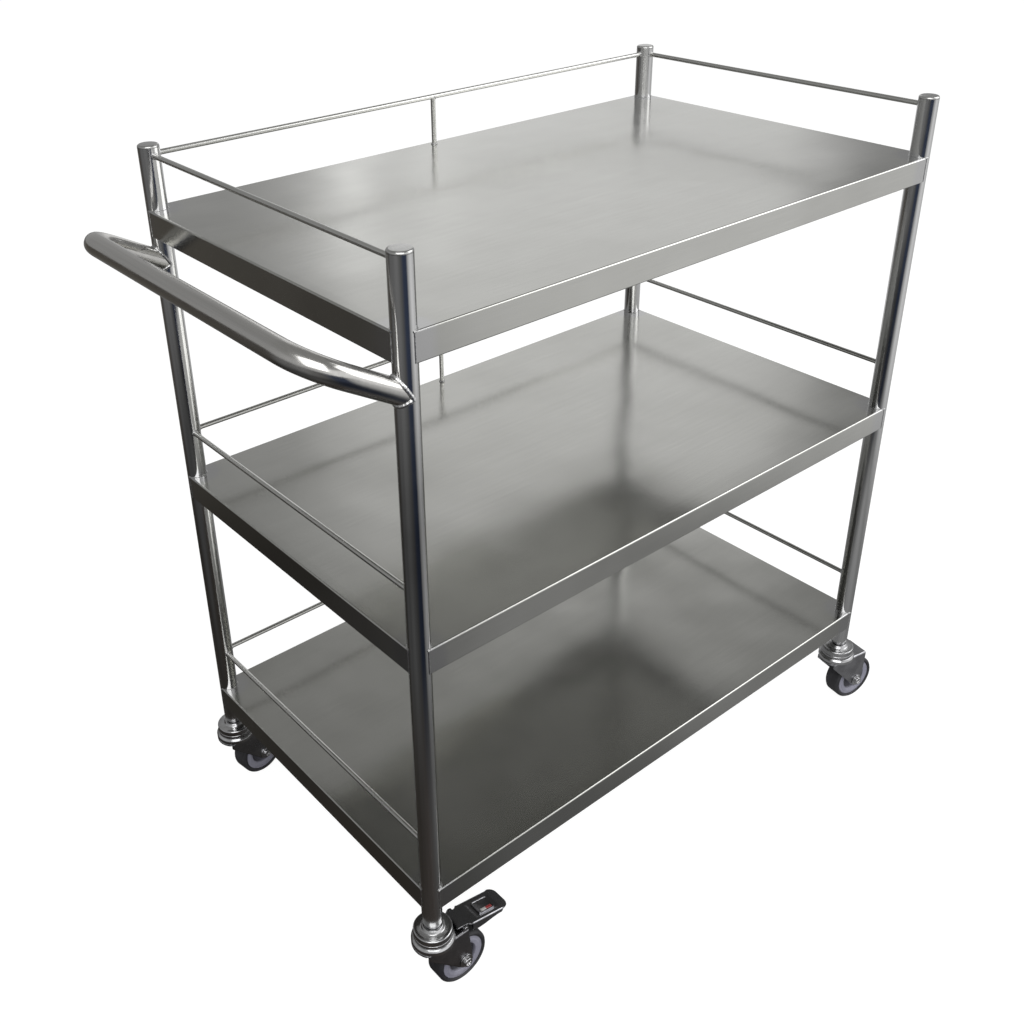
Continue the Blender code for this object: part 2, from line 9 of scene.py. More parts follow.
import bmesh
import bpy
import numpy as np
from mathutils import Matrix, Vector


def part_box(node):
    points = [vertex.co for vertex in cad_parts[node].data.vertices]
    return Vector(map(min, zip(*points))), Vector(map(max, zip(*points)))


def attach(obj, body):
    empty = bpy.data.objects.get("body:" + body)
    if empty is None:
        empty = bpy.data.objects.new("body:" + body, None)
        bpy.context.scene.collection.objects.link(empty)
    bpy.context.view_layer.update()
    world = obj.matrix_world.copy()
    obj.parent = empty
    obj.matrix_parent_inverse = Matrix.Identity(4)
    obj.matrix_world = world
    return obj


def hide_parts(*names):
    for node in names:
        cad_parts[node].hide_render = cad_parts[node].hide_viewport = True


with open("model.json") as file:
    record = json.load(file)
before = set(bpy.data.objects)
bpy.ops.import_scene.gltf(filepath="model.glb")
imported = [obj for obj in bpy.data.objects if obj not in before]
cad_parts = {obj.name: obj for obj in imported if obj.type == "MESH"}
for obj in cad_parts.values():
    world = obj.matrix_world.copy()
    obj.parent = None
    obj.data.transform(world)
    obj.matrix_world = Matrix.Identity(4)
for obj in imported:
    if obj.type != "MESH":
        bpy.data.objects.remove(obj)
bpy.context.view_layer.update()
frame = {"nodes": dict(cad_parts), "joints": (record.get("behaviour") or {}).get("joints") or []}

CORNERS = ("front_left", "back_left", "back_right", "front_right")
LEVELS = ("top", "middle", "bottom")
BRAKED = ("front_left", "back_right")
JOINTS = {joint["name"]: joint for joint in frame["joints"]}

# --- Sizes, from the frame wherever it holds them -----------------------------------------------


def centre(node):
    """Middle of a node's box."""
    low, high = (np.array(corner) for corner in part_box(node))
    return (low + high) / 2


def extent(node):
    """Lengths of a node's box."""
    low, high = (np.array(corner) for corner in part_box(node))
    return high - low


POSTS = {corner: centre(f"post_{corner}")[:2] for corner in CORNERS}
POST_X, POST_Y = np.abs(POSTS["back_right"])
TUBE = extent("post_front_left")[0] / 2
POST_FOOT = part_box("post_front_left")[0].z
POST_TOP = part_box("post_cap_front_left")[1].z
CAP_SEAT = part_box("post_front_left")[1].z
SHELF_Z = {level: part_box(f"shelf_{level}")[1].z for level in LEVELS}
APRON = extent("shelf_top")[2]
ROD = extent("rail_top_left")[0] / 2
RAIL_Z = {level: centre(f"rail_{level}_left")[2] for level in LEVELS}
WHEEL = extent("castor_tyre_front_left")[2] / 2
AXLE_Z = centre("castor_tyre_front_left")[2]
TRAIL = np.linalg.norm(centre("castor_tyre_back_left")[:2] - POSTS["back_left"])
CROWN_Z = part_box("castor_fork_back_left")[1].z
LOWER_RACE = extent("castor_lower_race_front_left")[0] / 2
UPPER_RACE = extent("castor_upper_race_front_left")[0] / 2

TUBE_WALL = 0.0012
SHEET = 0.0012                   # shelf sheet
HEM = 0.009                      # width of the apron's inward hem
NOTCH = TUBE + 0.0003            # radius of the shelf's notch round a post
CROWN_REAR = 0.0480              # rear edge of a fork's crown, from its post's axis
CROWN_REAR_BRAKED = 0.0420       # the same where a brake pedal leaves it less room
FORK_HALF = 0.0185
FORK_SHEET = 0.0025
RIM_FACE = 0.0122                # face of the wheel's rim, from the wheel's middle
LUG_FACES = (0.0153, 0.0173)     # inner and outer face of a pedal's lug, from the castor's middle
PEDAL_SLOPE = math.radians(11.5)
PEDAL_REACH = 0.072              # from the pin to the pedal's tip
PEDAL_TOP = 0.0032               # top of the pedal's sheet above its pin's axis
BEAD_SMALL = 0.0010              # radius of the thinnest weld bead
BEAD_ROD = 0.0013                # and of the one round a rod's end
FLOOR_HALF = 40.0
MERGE = 2e-6                     # points nearer than this become one

# --- Surfaces -----------------------------------------------------------------------------------


def full_turn(count):
    """Angles at an even spacing round a full turn."""
    return np.linspace(0.0, 2 * math.pi, count, endpoint=False)


def placed_object(name, data):
    """Object with that mesh, light or camera, put in the scene."""
    made = bpy.data.objects.new(name, data)
    bpy.context.scene.collection.objects.link(made)
    return made


def quads(rows, columns, wrap_rows, wrap_columns):
    """Corner indices of the faces between neighbouring points of a grid, counted row by row."""
    row = np.arange(rows if wrap_rows else rows - 1)[:, None]
    column = np.arange(columns if wrap_columns else columns - 1)[None, :]
    next_row, next_column = (row + 1) % rows, (column + 1) % columns
    corners = (row * columns + column, row * columns + next_column,
               next_row * columns + next_column, next_row * columns + column)
    return np.stack(np.broadcast_arrays(*corners), axis=-1).reshape(-1, 4)


def skin(name, sheets, finish, body, stands_for=(), wall=0.0, sharp=35.0):
    """One piece from grids of points, each (points, wrap_rows, wrap_columns), joined where they meet.

    A wall above zero gives an open sheet that thickness on the side that its faces turn away from.
    """
    places, faces, count = [], [], 0
    for points, wrap_rows, wrap_columns in sheets:
        rows, columns = points.shape[:2]
        faces.append(quads(rows, columns, wrap_rows, wrap_columns) + count)
        places.append(points.reshape(-1, 3))
        count += rows * columns
    mesh = bpy.data.meshes.new(name)
    mesh.from_pydata(np.concatenate(places).tolist(), [], np.concatenate(faces).tolist())
    shape = bmesh.new()
    shape.from_mesh(mesh)
    bmesh.ops.remove_doubles(shape, verts=shape.verts, dist=MERGE)
    bmesh.ops.dissolve_degenerate(shape, edges=shape.edges, dist=MERGE / 20)
    bmesh.ops.recalc_face_normals(shape, faces=shape.faces)
    shape.to_mesh(mesh)
    shape.free()
    mesh.shade_smooth()
    mesh.set_sharp_from_angle(angle=math.radians(sharp))
    mesh.materials.append(finish)
    piece = placed_object(name, mesh)
    if wall:
        thickness = piece.modifiers.new("wall", "SOLIDIFY")
        thickness.thickness = wall
        thickness.offset = -1.0
        thickness.use_even_offset = True
        crisp = piece.modifiers.new("flat faces", "WEIGHTED_NORMAL")
        crisp.keep_sharp = True
    if stands_for:
        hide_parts(*stands_for)
    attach(piece, body)
    return piece


def corner_arc(before, corner, after, radius, count):
    """Points of the arc that rounds the corner between two straight runs, in a plane or in space.

    It is laid from the two points where a circle of that radius touches the runs, as a mix of the
    directions to them by the sines of their shares of its sweep.
    """
    first = (before - corner) / np.linalg.norm(before - corner)
    second = (after - corner) / np.linalg.norm(after - corner)
    half = math.acos(np.clip(first @ second, -1.0, 1.0)) / 2
    halfway = (first + second) / np.linalg.norm(first + second)
    middle = corner + halfway * radius / math.sin(half)
    start = corner + first * radius / math.tan(half) - middle
    end = corner + second * radius / math.tan(half) - middle
    sweep = math.pi - 2 * half
    share = np.linspace(0.0, 1.0, count)[:, None]
    mix = start * np.sin((1 - share) * sweep) + end * np.sin(share * sweep)
    return middle + mix / math.sin(sweep)


def rounded(corners, steps=5):
    """Outline through (a, b, radius) corners, each turned by an arc of its radius."""
    outline = []
    for index, (a, b, radius) in enumerate(corners):
        here = np.array((a, b))
        if radius == 0.0 or index in (0, len(corners) - 1):
            outline.append(here[None])
            continue
        before, after = np.array(corners[index - 1][:2]), np.array(corners[index + 1][:2])
        outline.append(corner_arc(before, here, after, radius, steps))
    return np.concatenate(outline)


def mirrored(corners):
    """Corners (radius, height, rounding) of a profile's other half, in the order that follows it."""
    return [(radius, -height, soft) for radius, height, soft in reversed(corners)]


def upright_section(x, across, z):
    """Points of an outline in x and z that all lie at one distance across."""
    return np.column_stack((x, np.full(len(x), across), z))


def revolve(profile, sides=64):
    """Points of a (radius, height) profile turned about Z: radius times cosine and sine of a turn."""
    turn = full_turn(sides)
    radius, height = profile[:, :1], profile[:, 1:]
    return np.stack(np.broadcast_arrays(radius * np.cos(turn), radius * np.sin(turn), height), axis=-1)


def frames_along(path):
    """Tangent and two crosswise directions at each point of a path, with the first one kept level."""
    tangent = np.gradient(path, axis=0)
    tangent /= np.linalg.norm(tangent, axis=1, keepdims=True)
    level = np.cross(tangent, (0.0, 0.0, 1.0))
    steep = np.linalg.norm(level, axis=1) < 1e-3
    level[steep] = (1.0, 0.0, 0.0)
    level /= np.linalg.norm(level, axis=1, keepdims=True)
    return tangent, level, np.cross(level, tangent)


def tube_along(path, radius, sides=48):
    """Points at a radius round a path, which may be one number or one for each point of the path."""
    _, level, upright = frames_along(path)
    turn = full_turn(sides)[None, :, None]
    radius = np.broadcast_to(radius, len(path))[:, None, None]
    ring = np.cos(turn) * level[:, None] + np.sin(turn) * upright[:, None]
    return path[:, None] + radius * ring


def closed_ends(points):
    """The grid with its first and last rows drawn in to their middles, which closes a tube."""
    first = np.broadcast_to(points[:1].mean(axis=1, keepdims=True), points[:1].shape)
    last = np.broadcast_to(points[-1:].mean(axis=1, keepdims=True), points[-1:].shape)
    return np.concatenate((first, points, last))


def saddle(post, start, direction, radius, count=48):
    """Closed line in which a round bar meets a post.

    From each point round the bar's start the line runs along the bar until its distance from the
    post's axis is the tube's radius: the larger root of a quadratic, taken back towards the start.
    """
    direction = np.asarray(direction, float) / np.linalg.norm(direction)
    side = np.cross(direction, (0.0, 0.0, 1.0))
    side /= np.linalg.norm(side)
    over = np.cross(side, direction)
    turn = full_turn(count)[:, None]
    ring = np.asarray(start) + radius * (np.cos(turn) * side + np.sin(turn) * over)
    offset = ring[:, :2] - post
    run = direction[:2]
    a = run @ run
    b = offset @ run
    c = (offset ** 2).sum(axis=1) - TUBE ** 2
    along = (-b + np.sqrt(np.maximum(b * b - a * c, 0.0))) / a
    return ring + along[:, None] * direction


# --- Finishes -----------------------------------------------------------------------------------


def add_node(tree, kind, inputs=None, **settings):
    """Shader node with its settings, and its inputs given by name or number as a value or a socket."""
    made = tree.nodes.new("ShaderNode" + kind)
    for name, value in settings.items():
        setattr(made, name, value)
    for name, value in (inputs or {}).items():
        if isinstance(value, bpy.types.NodeSocket):
            tree.links.new(value, made.inputs[name])
        else:
            made.inputs[name].default_value = value
    return made


def new_group(name, inputs, outputs):
    """Empty shader group with named sockets: {name: (socket type, default)} in, {name: type} out."""
    group = bpy.data.node_groups.new(name, "ShaderNodeTree")
    for label, (kind, default) in inputs.items():
        socket = group.interface.new_socket(label, in_out="INPUT", socket_type=kind)
        if default is not None:
            socket.default_value = default
    for label, kind in outputs.items():
        group.interface.new_socket(label, in_out="OUTPUT", socket_type=kind)
    return group, group.nodes.new("NodeGroupInput"), group.nodes.new("NodeGroupOutput")


def make_grain_group():
    """Fine streaks: noise drawn out along one axis, in two sizes, with cloudy patches over it."""
    group, given, out = new_group(
        "metal_grain",
        {"Vector": ("NodeSocketVector", None), "Stretch": ("NodeSocketVector", (1.0, 1.0, 1.0)),
         "Scale": ("NodeSocketFloat", 400.0), "Cloud Scale": ("NodeSocketFloat", 7.0)},
        {"Streak": "NodeSocketFloat", "Cloud": "NodeSocketFloat", "Speck": "NodeSocketFloat"})
    drawn = add_node(group, "VectorMath", {0: given.outputs["Vector"], 1: given.outputs["Stretch"]},
                     operation="MULTIPLY")
    fine = add_node(group, "TexNoise", {"Vector": drawn.outputs[0], "Scale": given.outputs["Scale"],
                                        "Detail": 2.0, "Roughness": 0.6})
    coarse_scale = add_node(group, "Math", {0: given.outputs["Scale"], 1: 0.3}, operation="MULTIPLY")
    coarse = add_node(group, "TexNoise", {"Vector": drawn.outputs[0], "Scale": coarse_scale.outputs[0],
                                          "Detail": 1.0})
    both = add_node(group, "Mix", {"Factor": 0.4, 2: fine.outputs[0], 3: coarse.outputs[0]})
    place = given.outputs["Vector"]
    cloud = add_node(group, "TexNoise", {"Vector": place, "Scale": given.outputs["Cloud Scale"],
                                         "Detail": 3.0, "Roughness": 0.55})
    speck = add_node(group, "TexNoise", {"Vector": place, "Scale": 900.0, "Detail": 1.0})
    group.links.new(both.outputs[0], out.inputs["Streak"])
    group.links.new(cloud.outputs[0], out.inputs["Cloud"])
    group.links.new(speck.outputs[0], out.inputs["Speck"])
    return group


def make_near_post_group():
    """1 close to a post and 0 away from it, by the distance in plan from the nearest post's axis."""
    group, given, out = new_group(
        "near_post",
        {"Vector": ("NodeSocketVector", None), "From": ("NodeSocketFloat", 0.03),
         "To": ("NodeSocketFloat", 0.02)},
        {"Mask": "NodeSocketFloat"})
    flat = add_node(group, "VectorMath", {0: given.outputs["Vector"], 1: (1.0, 1.0, 0.0)},
                    operation="MULTIPLY")
    folded = add_node(group, "VectorMath", {0: flat.outputs[0]}, operation="ABSOLUTE")
    apart = add_node(group, "VectorMath", {0: folded.outputs[0], 1: (POST_X, POST_Y, 0.0)},
                     operation="DISTANCE")
    mask = add_node(group, "MapRange", {0: apart.outputs["Value"], 1: given.outputs["From"],
                                        2: given.outputs["To"]}, interpolation_type="SMOOTHSTEP")
    group.links.new(mask.outputs[0], out.inputs["Mask"])
    return group


GRAIN = make_grain_group()
NEAR_POST = make_near_post_group()


def new_material(name, metallic, **constants):
    """Material with its Principled shader; constants are set on the shader's own sockets."""
    made = bpy.data.materials.new(name)
    made.use_nodes = True
    tree = made.node_tree
    shader = tree.nodes["Principled BSDF"]
    shader.inputs["Metallic"].default_value = metallic
    for label, value in constants.items():
        shader.inputs[label.replace("_", " ")].default_value = value
    place = add_node(tree, "TexCoord").outputs["Object"]
    return made, tree, shader, place


def use_group(tree, group, **inputs):
    """Place a shader group in a material with its own values."""
    placed = add_node(tree, "Group", node_tree=group)
    for label, value in inputs.items():
        socket = placed.inputs[label.replace("_", " ")]
        if isinstance(value, bpy.types.NodeSocket):
            tree.links.new(value, socket)
        else:
            socket.default_value = value
    return placed


def ramp(tree, value, stops):
    """Colours, or greys, against a value: (position, colour) stops."""
    made = add_node(tree, "ValToRGB", {0: value})
    band = made.color_ramp
    while len(band.elements) < len(stops):
        band.elements.new(0.5)
    for element, (position, colour) in zip(band.elements, stops):
        element.position = position
        element.color = (*colour, 1.0) if isinstance(colour, tuple) else (colour, colour, colour, 1.0)
    return made.outputs[0]


def mix_colours(tree, factor, first, second, blend="MIX"):
    """Two colours mixed by a factor, each a socket or an (r, g, b) value."""
    colours = [colour if isinstance(colour, bpy.types.NodeSocket) else (*colour, 1.0)
               for colour in (first, second)]
    made = add_node(tree, "Mix", {"Factor": factor, 6: colours[0], 7: colours[1]},
                    data_type="RGBA", blend_type=blend)
    return made.outputs[2]


def scale_range(tree, value, low, high):
    """Noise, most of which lies from 0.3 to 0.7, brought to low and high."""
    return add_node(tree, "MapRange", {0: value, 1: 0.3, 2: 0.7, 3: low, 4: high}).outputs[0]


def around_z(tree, vector):
    """A vector's direction in plan, from 0 to 1 round a full turn from -X, and its separate parts."""
    parts = add_node(tree, "SeparateXYZ", {0: vector})
    heading = add_node(tree, "Math", {0: parts.outputs[1], 1: parts.outputs[0]}, operation="ARCTAN2")
    around = add_node(tree, "MapRange", {0: heading.outputs[0], 1: -math.pi, 2: math.pi})
    return around.outputs[0], parts


def add_bump(tree, shader, height, distance, strength=1.0, under=None):
    """Bump from a height onto the shader, over another bump if given."""
    made = add_node(tree, "Bump", {"Height": height, "Distance": distance, "Strength": strength})
    if under is not None:
        tree.links.new(under, made.inputs["Normal"])
    tree.links.new(made.outputs[0], shader.inputs["Normal"])
    return made.outputs[0]


def set_surface(tree, shader, colour, roughness):
    """Give a shader its colour and roughness, both of which change over the surface."""
    tree.links.new(colour, shader.inputs["Base Color"])
    tree.links.new(roughness, shader.inputs["Roughness"])


def brushed_sheet():
    """Satin sheet: fine grain along the shelf, cloudy haze, and ground patches at the posts."""
    made, tree, shader, place = new_material("satin_sheet", 1.0)
    grain = use_group(tree, GRAIN, Vector=place, Stretch=(0.03, 1.0, 1.0), Scale=700.0,
                      Cloud_Scale=5.0)
    near = use_group(tree, NEAR_POST, Vector=place, From=0.036, To=0.022).outputs["Mask"]
    colour = ramp(tree, grain.outputs["Cloud"], [(0.30, (0.50, 0.50, 0.475)),
                                                 (0.70, (0.60, 0.60, 0.575))])
    streak = scale_range(tree, grain.outputs["Streak"], 0.0, 0.16)
    streaked = mix_colours(tree, streak, colour, (0.34, 0.34, 0.33))
    ground = mix_colours(tree, near, streaked, (0.52, 0.52, 0.52))
    satin = scale_range(tree, grain.outputs["Cloud"], 0.15, 0.21)
    rough = add_node(tree, "Mix", {"Factor": near, 2: satin, 3: 0.17}).outputs[0]
    set_surface(tree, shader, ground, rough)
    dents = add_node(tree, "TexNoise", {"Vector": place, "Scale": 6.0, "Detail": 1.0}).outputs[0]
    waves = add_bump(tree, shader, dents, 0.0022)
    add_bump(tree, shader, grain.outputs["Streak"], 0.000003, under=waves)
    return made


def polished_tube(name, stretch, rough_low, rough_high, tint):
    """Polished tube: faint lengthwise streaks and hazy smears in the shine."""
    made, tree, shader, place = new_material(name, 1.0)
    grain = use_group(tree, GRAIN, Vector=place, Stretch=stretch, Scale=260.0, Cloud_Scale=22.0)
    darker = tuple(channel * 0.86 for channel in tint)
    set_surface(tree, shader, ramp(tree, grain.outputs["Streak"], [(0.30, darker), (0.62, tint)]),
                scale_range(tree, grain.outputs["Cloud"], rough_low, rough_high))
    add_bump(tree, shader, grain.outputs["Streak"], 0.000004)
    return made


def weld_metal(name, tint, roughness):
    """Weld metal: silvery, uneven shine with fine pits."""
    made, tree, shader, place = new_material(name, 1.0)
    pits = add_node(tree, "TexNoise", {"Vector": place, "Scale": 450.0, "Detail": 2.0}).outputs[0]
    darker = tuple(channel * 0.6 for channel in tint)
    set_surface(tree, shader, ramp(tree, pits, [(0.35, darker), (0.60, tint)]),
                scale_range(tree, pits, roughness + 0.12, roughness))
    add_bump(tree, shader, pits, 0.0004, 0.8)
    return made


def plated(name, tint, roughness, grime):
    """Plated pressing: bright, with a thin haze and a little dark grime in cloudy patches."""
    made, tree, shader, place = new_material(name, 1.0)
    grain = use_group(tree, GRAIN, Vector=place, Scale=300.0, Cloud_Scale=60.0)
    darker = tuple(channel * (1.0 - grime) for channel in tint)
    set_surface(tree, shader, ramp(tree, grain.outputs["Cloud"], [(0.38, darker), (0.60, tint)]),
                scale_range(tree, grain.outputs["Cloud"], roughness + 0.10, roughness))
    add_bump(tree, shader, grain.outputs["Speck"], 0.000012)
    return made


def moulded(name, light, dark, roughness, pebble):
    """Moulded plastic or rubber: mottled colour, painted shade (near black) where the surface is marked
    as recessed, and a fine pebbled skin.
    """
    made, tree, shader, place = new_material(name, 0.0)
    grain = use_group(tree, GRAIN, Vector=place, Scale=500.0, Cloud_Scale=45.0)
    mottled = ramp(tree, grain.outputs["Cloud"], [(0.32, dark), (0.68, light)])
    recess_shade = add_node(tree, "Attribute", attribute_name="recess_shade").outputs["Fac"]
    # Painted shade: where a point is marked as recessed, its colour goes towards near black.
    groove_shaded = mix_colours(tree, recess_shade, mottled, (0.03, 0.03, 0.035))
    set_surface(tree, shader, groove_shaded,
                scale_range(tree, grain.outputs["Cloud"], roughness - 0.08, roughness + 0.08))
    add_bump(tree, shader, grain.outputs["Speck"], pebble)
    return made


def insert_paint():
    """Insert of the brake's window: a red field beside a white one, split at its middle."""
    made, tree, shader, place = new_material("pedal_insert", 0.0, Coat_Weight=0.5)
    uv = add_node(tree, "UVMap", uv_map="insert").outputs[0]
    across = add_node(tree, "SeparateXYZ", {0: uv}).outputs[0]
    mottle = add_node(tree, "TexNoise", {"Vector": place, "Scale": 900.0}).outputs[0]
    red = ramp(tree, mottle, [(0.3, (0.24, 0.02, 0.02)), (0.7, (0.34, 0.03, 0.03))])
    side = add_node(tree, "Math", {0: across, 1: 0.45}, operation="GREATER_THAN").outputs[0]
    set_surface(tree, shader, mix_colours(tree, side, (0.50, 0.49, 0.47), red),
                scale_range(tree, mottle, 0.35, 0.5))
    return made


SATIN_SHEET = brushed_sheet()
POST_TUBE = polished_tube("post_tube", (1.0, 1.0, 0.02), 0.10, 0.20, (0.66, 0.66, 0.66))
HANDLE_TUBE = polished_tube("handle_tube", (1.0, 0.02, 1.0), 0.14, 0.24, (0.64, 0.63, 0.61))
CAP_FACE = polished_tube("cap_face", (0.1, 1.0, 1.0), 0.24, 0.34, (0.58, 0.58, 0.57))
RAIL_ROD = polished_tube("rail_rod", (0.05, 0.05, 1.0), 0.20, 0.30, (0.62, 0.62, 0.60))
WELD_BRIGHT = weld_metal("weld_bright", (0.88, 0.88, 0.88), 0.22)
WELD_GROUND = weld_metal("weld_ground", (0.62, 0.62, 0.62), 0.26)
CHROME = plated("bright_chrome", (0.62, 0.62, 0.63), 0.16, 0.25)
DARK_CHROME = plated("fork_chrome", (0.42, 0.42, 0.44), 0.18, 0.25)
WHEEL_GREY = moulded("wheel_grey", (0.42, 0.42, 0.50), (0.34, 0.34, 0.42), 0.45, 0.00002)
TYRE_BLACK = moulded("tyre_rubber", (0.060, 0.060, 0.066), (0.030, 0.030, 0.034), 0.60, 0.00006)
SHOE_BLACK = moulded("brake_rubber", (0.035, 0.035, 0.035), (0.020, 0.020, 0.020), 0.70, 0.00008)
PEDAL_INSERT = insert_paint()

# --- Posts, caps and rails ----------------------------------------------------------------------


def make_post(corner):
    """Tube with softened ends, and its welded cap with a rolled edge."""
    x, y = POSTS[corner]
    soft = 0.0004
    bore = TUBE - TUBE_WALL
    profile = rounded([(bore, CAP_SEAT, 0.0), (TUBE, CAP_SEAT, 0.0), (TUBE, POST_FOOT, soft),
                       (bore, POST_FOOT, soft), (bore, CAP_SEAT, 0.0)])
    skin(f"tube_{corner}", [(revolve(profile) + (x, y, 0.0), False, True)], POST_TUBE, "frame",
         [f"post_{corner}"])
    seat, spigot, spigot_foot = POST_TOP - 0.003, bore - 0.0003, POST_TOP - 0.015
    profile = rounded([(0.0, POST_TOP, 0.0), (TUBE, POST_TOP, 0.0026), (TUBE, seat, 0.0),
                       (spigot, seat, 0.0), (spigot, spigot_foot, 0.0005),
                       (0.0, spigot_foot, 0.0)], 7)
    skin(f"cap_{corner}", [(revolve(profile) + (x, y, 0.0), False, True)], CAP_FACE, "frame",
         [f"post_cap_{corner}"])


def bead(name, path, radius, finish, pitch=0.0022, closed=True):
    """Weld bead: a tube along the joint's line whose radius swells by two sines of unlike lengths."""
    if closed:
        path = np.concatenate((path, path[:1]))
    length = np.concatenate(([0.0], np.cumsum(np.linalg.norm(np.diff(path, axis=0), axis=1))))
    fine = np.linspace(0.0, length[-1], max(24, int(length[-1] / pitch * 6)))
    path = np.stack([np.interp(fine, length, path[:, axis]) for axis in range(3)], axis=-1)
    ripple = 0.03 * np.sin(fine / pitch * 5.1) + 0.06 * np.sin(fine / pitch * 1.3 + 1.0)
    swell = radius * (0.90 + ripple)
    tube = tube_along(path, swell, 12)
    sheet = (tube[:-1], True, True) if closed else (closed_ends(tube), False, True)
    return skin(name, [sheet], finish, "frame", sharp=60.0)


def make_rail(node, toward):
    """Rod between two posts, whose ends follow the posts' surfaces, with a small weld at each end."""
    low, high = (np.array(corner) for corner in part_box(node))
    middle = (low + high) / 2
    reach = (POST_X, POST_Y)[toward]
    ends = []
    for sign in (-1, 1):
        post = middle[:2].copy()
        post[toward] = sign * reach
        direction = np.zeros(3)
        direction[toward] = -sign
        start = np.array((*post, middle[2]))
        ends.append(saddle(post, start, direction, ROD, 32))
    share = np.linspace(0.0, 1.0, 9)[:, None, None]
    grid = ends[0] + (match_ring(ends[1], ends[0]) - ends[0]) * share
    skin(f"{node}_rod", [(closed_ends(grid), False, True)], RAIL_ROD, "frame", [node])
    for side, line in zip(("near", "far"), ends):
        bead(f"{node}_weld_{side}", line, BEAD_ROD, WELD_GROUND)


def make_upright(level):
    """Short rod between a shelf and its long rail, coped to the rail, with a weld at each end."""
    node = f"rail_upright_{level}"
    x, y, _ = centre(node)
    turn = full_turn(32)
    ring = np.stack((x + ROD * np.cos(turn), y + ROD * np.sin(turn)), axis=-1)
    foot = np.column_stack((ring, np.full(32, SHELF_Z[level] + 0.0001)))
    drop = np.sqrt(np.maximum(ROD ** 2 - (ring[:, 1] - y) ** 2, 0.0))
    head = np.column_stack((ring, RAIL_Z[level] - drop))
    skin(f"{node}_rod", [(closed_ends(np.stack((foot, head))), False, True)], RAIL_ROD, "frame",
         [node])
    bead(f"{node}_weld_foot", foot + (0.0, 0.0, 0.0006), BEAD_ROD, WELD_GROUND)
    bead(f"{node}_weld_head", head, BEAD_SMALL, WELD_GROUND)


# --- Shelves ------------------------------------------------------------------------------------


def apron_profile():
    """Section of a shelf's folded edge: (distance in from the apron's face, drop below the top)."""
    return rounded([(TUBE * 2, 0.0, 0.0), (0.0, 0.0, 0.0022), (0.0, APRON, 0.0018),
                    (HEM, APRON, 0.0)], 7)


def shelf_dish(x, y):
    """Slight hollow of the flat sheet between its edges: a shallow bowl with a long ripple on it."""
    u, v = x / POST_X, y / POST_Y
    bowl = np.clip(1 - u ** 4, 0, 1) * np.clip(1 - v ** 4, 0, 1)
    ripple = 0.00012 * np.sin(7.0 * u + 2.0 * v) + 0.00010 * np.sin(5.0 * v - 3.0 * u)
    return -bowl * (0.0006 + ripple)


def make_shelf(level):
    """Folded tray: a dished middle, and along each side a strip bent down to its apron and hem.

    A strip's ends stop at the posts: at each distance from the side, the notch's circle gives how far
    along the strip runs.
    """
    top = SHELF_Z[level]
    faces = (POST_X + TUBE, POST_Y + TUBE)
    lines_x = np.concatenate(([-1.0, -0.9985], np.linspace(-0.99, 0.99, 85), [0.9985, 1.0]))
    lines_y = np.concatenate(([-1.0, -0.9975], np.linspace(-0.985, 0.985, 49), [0.9975, 1.0]))
    inner_x, inner_y = POST_X, POST_Y - NOTCH
    x, y = np.meshgrid(lines_x * inner_x, lines_y * inner_y, indexing="ij")
    sheets = [(np.stack((x, y, top + shelf_dish(x, y)), axis=-1), False, False)]

    profile = apron_profile()
    for along, half, lines in ((0, POST_X, lines_x), (1, POST_Y, lines_y)):
        across = 1 - along
        reach = np.concatenate(([faces[across] - TUBE - (NOTCH if along == 0 else 0.0)],
                                faces[across] - profile[1:, 0]))
        drop = np.concatenate(([0.0], profile[1:, 1]))
        past = np.abs(reach - (faces[across] - TUBE))
        end = half - np.sqrt(np.maximum(NOTCH ** 2 - past ** 2, 0.0))
        for sign in (-1, 1):
            points = np.zeros((len(reach), len(lines), 3))
            points[..., along] = end[:, None] * lines
            points[..., across] = sign * reach[:, None]
            sag = shelf_dish(points[..., 0], points[..., 1]) * (drop == 0.0)[:, None]
            points[..., 2] = top - drop[:, None] + sag
            sheets.append((points, False, False))
    skin(f"shelf_{level}_sheet", sheets, SATIN_SHEET, "frame", [f"shelf_{level}"],
         wall=SHEET, sharp=50.0)


def make_shelf_welds(level, corner):
    """Fillets where the shelf's aprons and its notched edge meet a post."""
    post = POSTS[corner]
    outward = np.sign(post)
    top = SHELF_Z[level]
    steps, turns, sweep = 12, 40, math.radians(128)
    drop = np.linspace(0.0015, APRON - 0.0012, steps)
    for axis, side in ((0, "long"), (1, "end")):
        place = post.copy()
        place[1 - axis] += outward[1 - axis] * (TUBE - 0.0004)
        place[axis] -= outward[axis] * 0.0030
        line = np.column_stack((np.full(steps, place[0]), np.full(steps, place[1]), top - drop))
        bead(f"weld_{level}_{corner}_{side}", line, 0.0011, WELD_GROUND, closed=False)
    inward = math.atan2(-outward[1], -outward[0])
    turn = np.linspace(inward - sweep, inward + sweep, turns)
    line = np.column_stack((post[0] + NOTCH * np.cos(turn), post[1] + NOTCH * np.sin(turn),
                            np.full(turns, top - 0.0006)))
    bead(f"weld_{level}_{corner}_top", line, BEAD_SMALL, WELD_GROUND, closed=False)


# --- Push handle --------------------------------------------------------------------------------


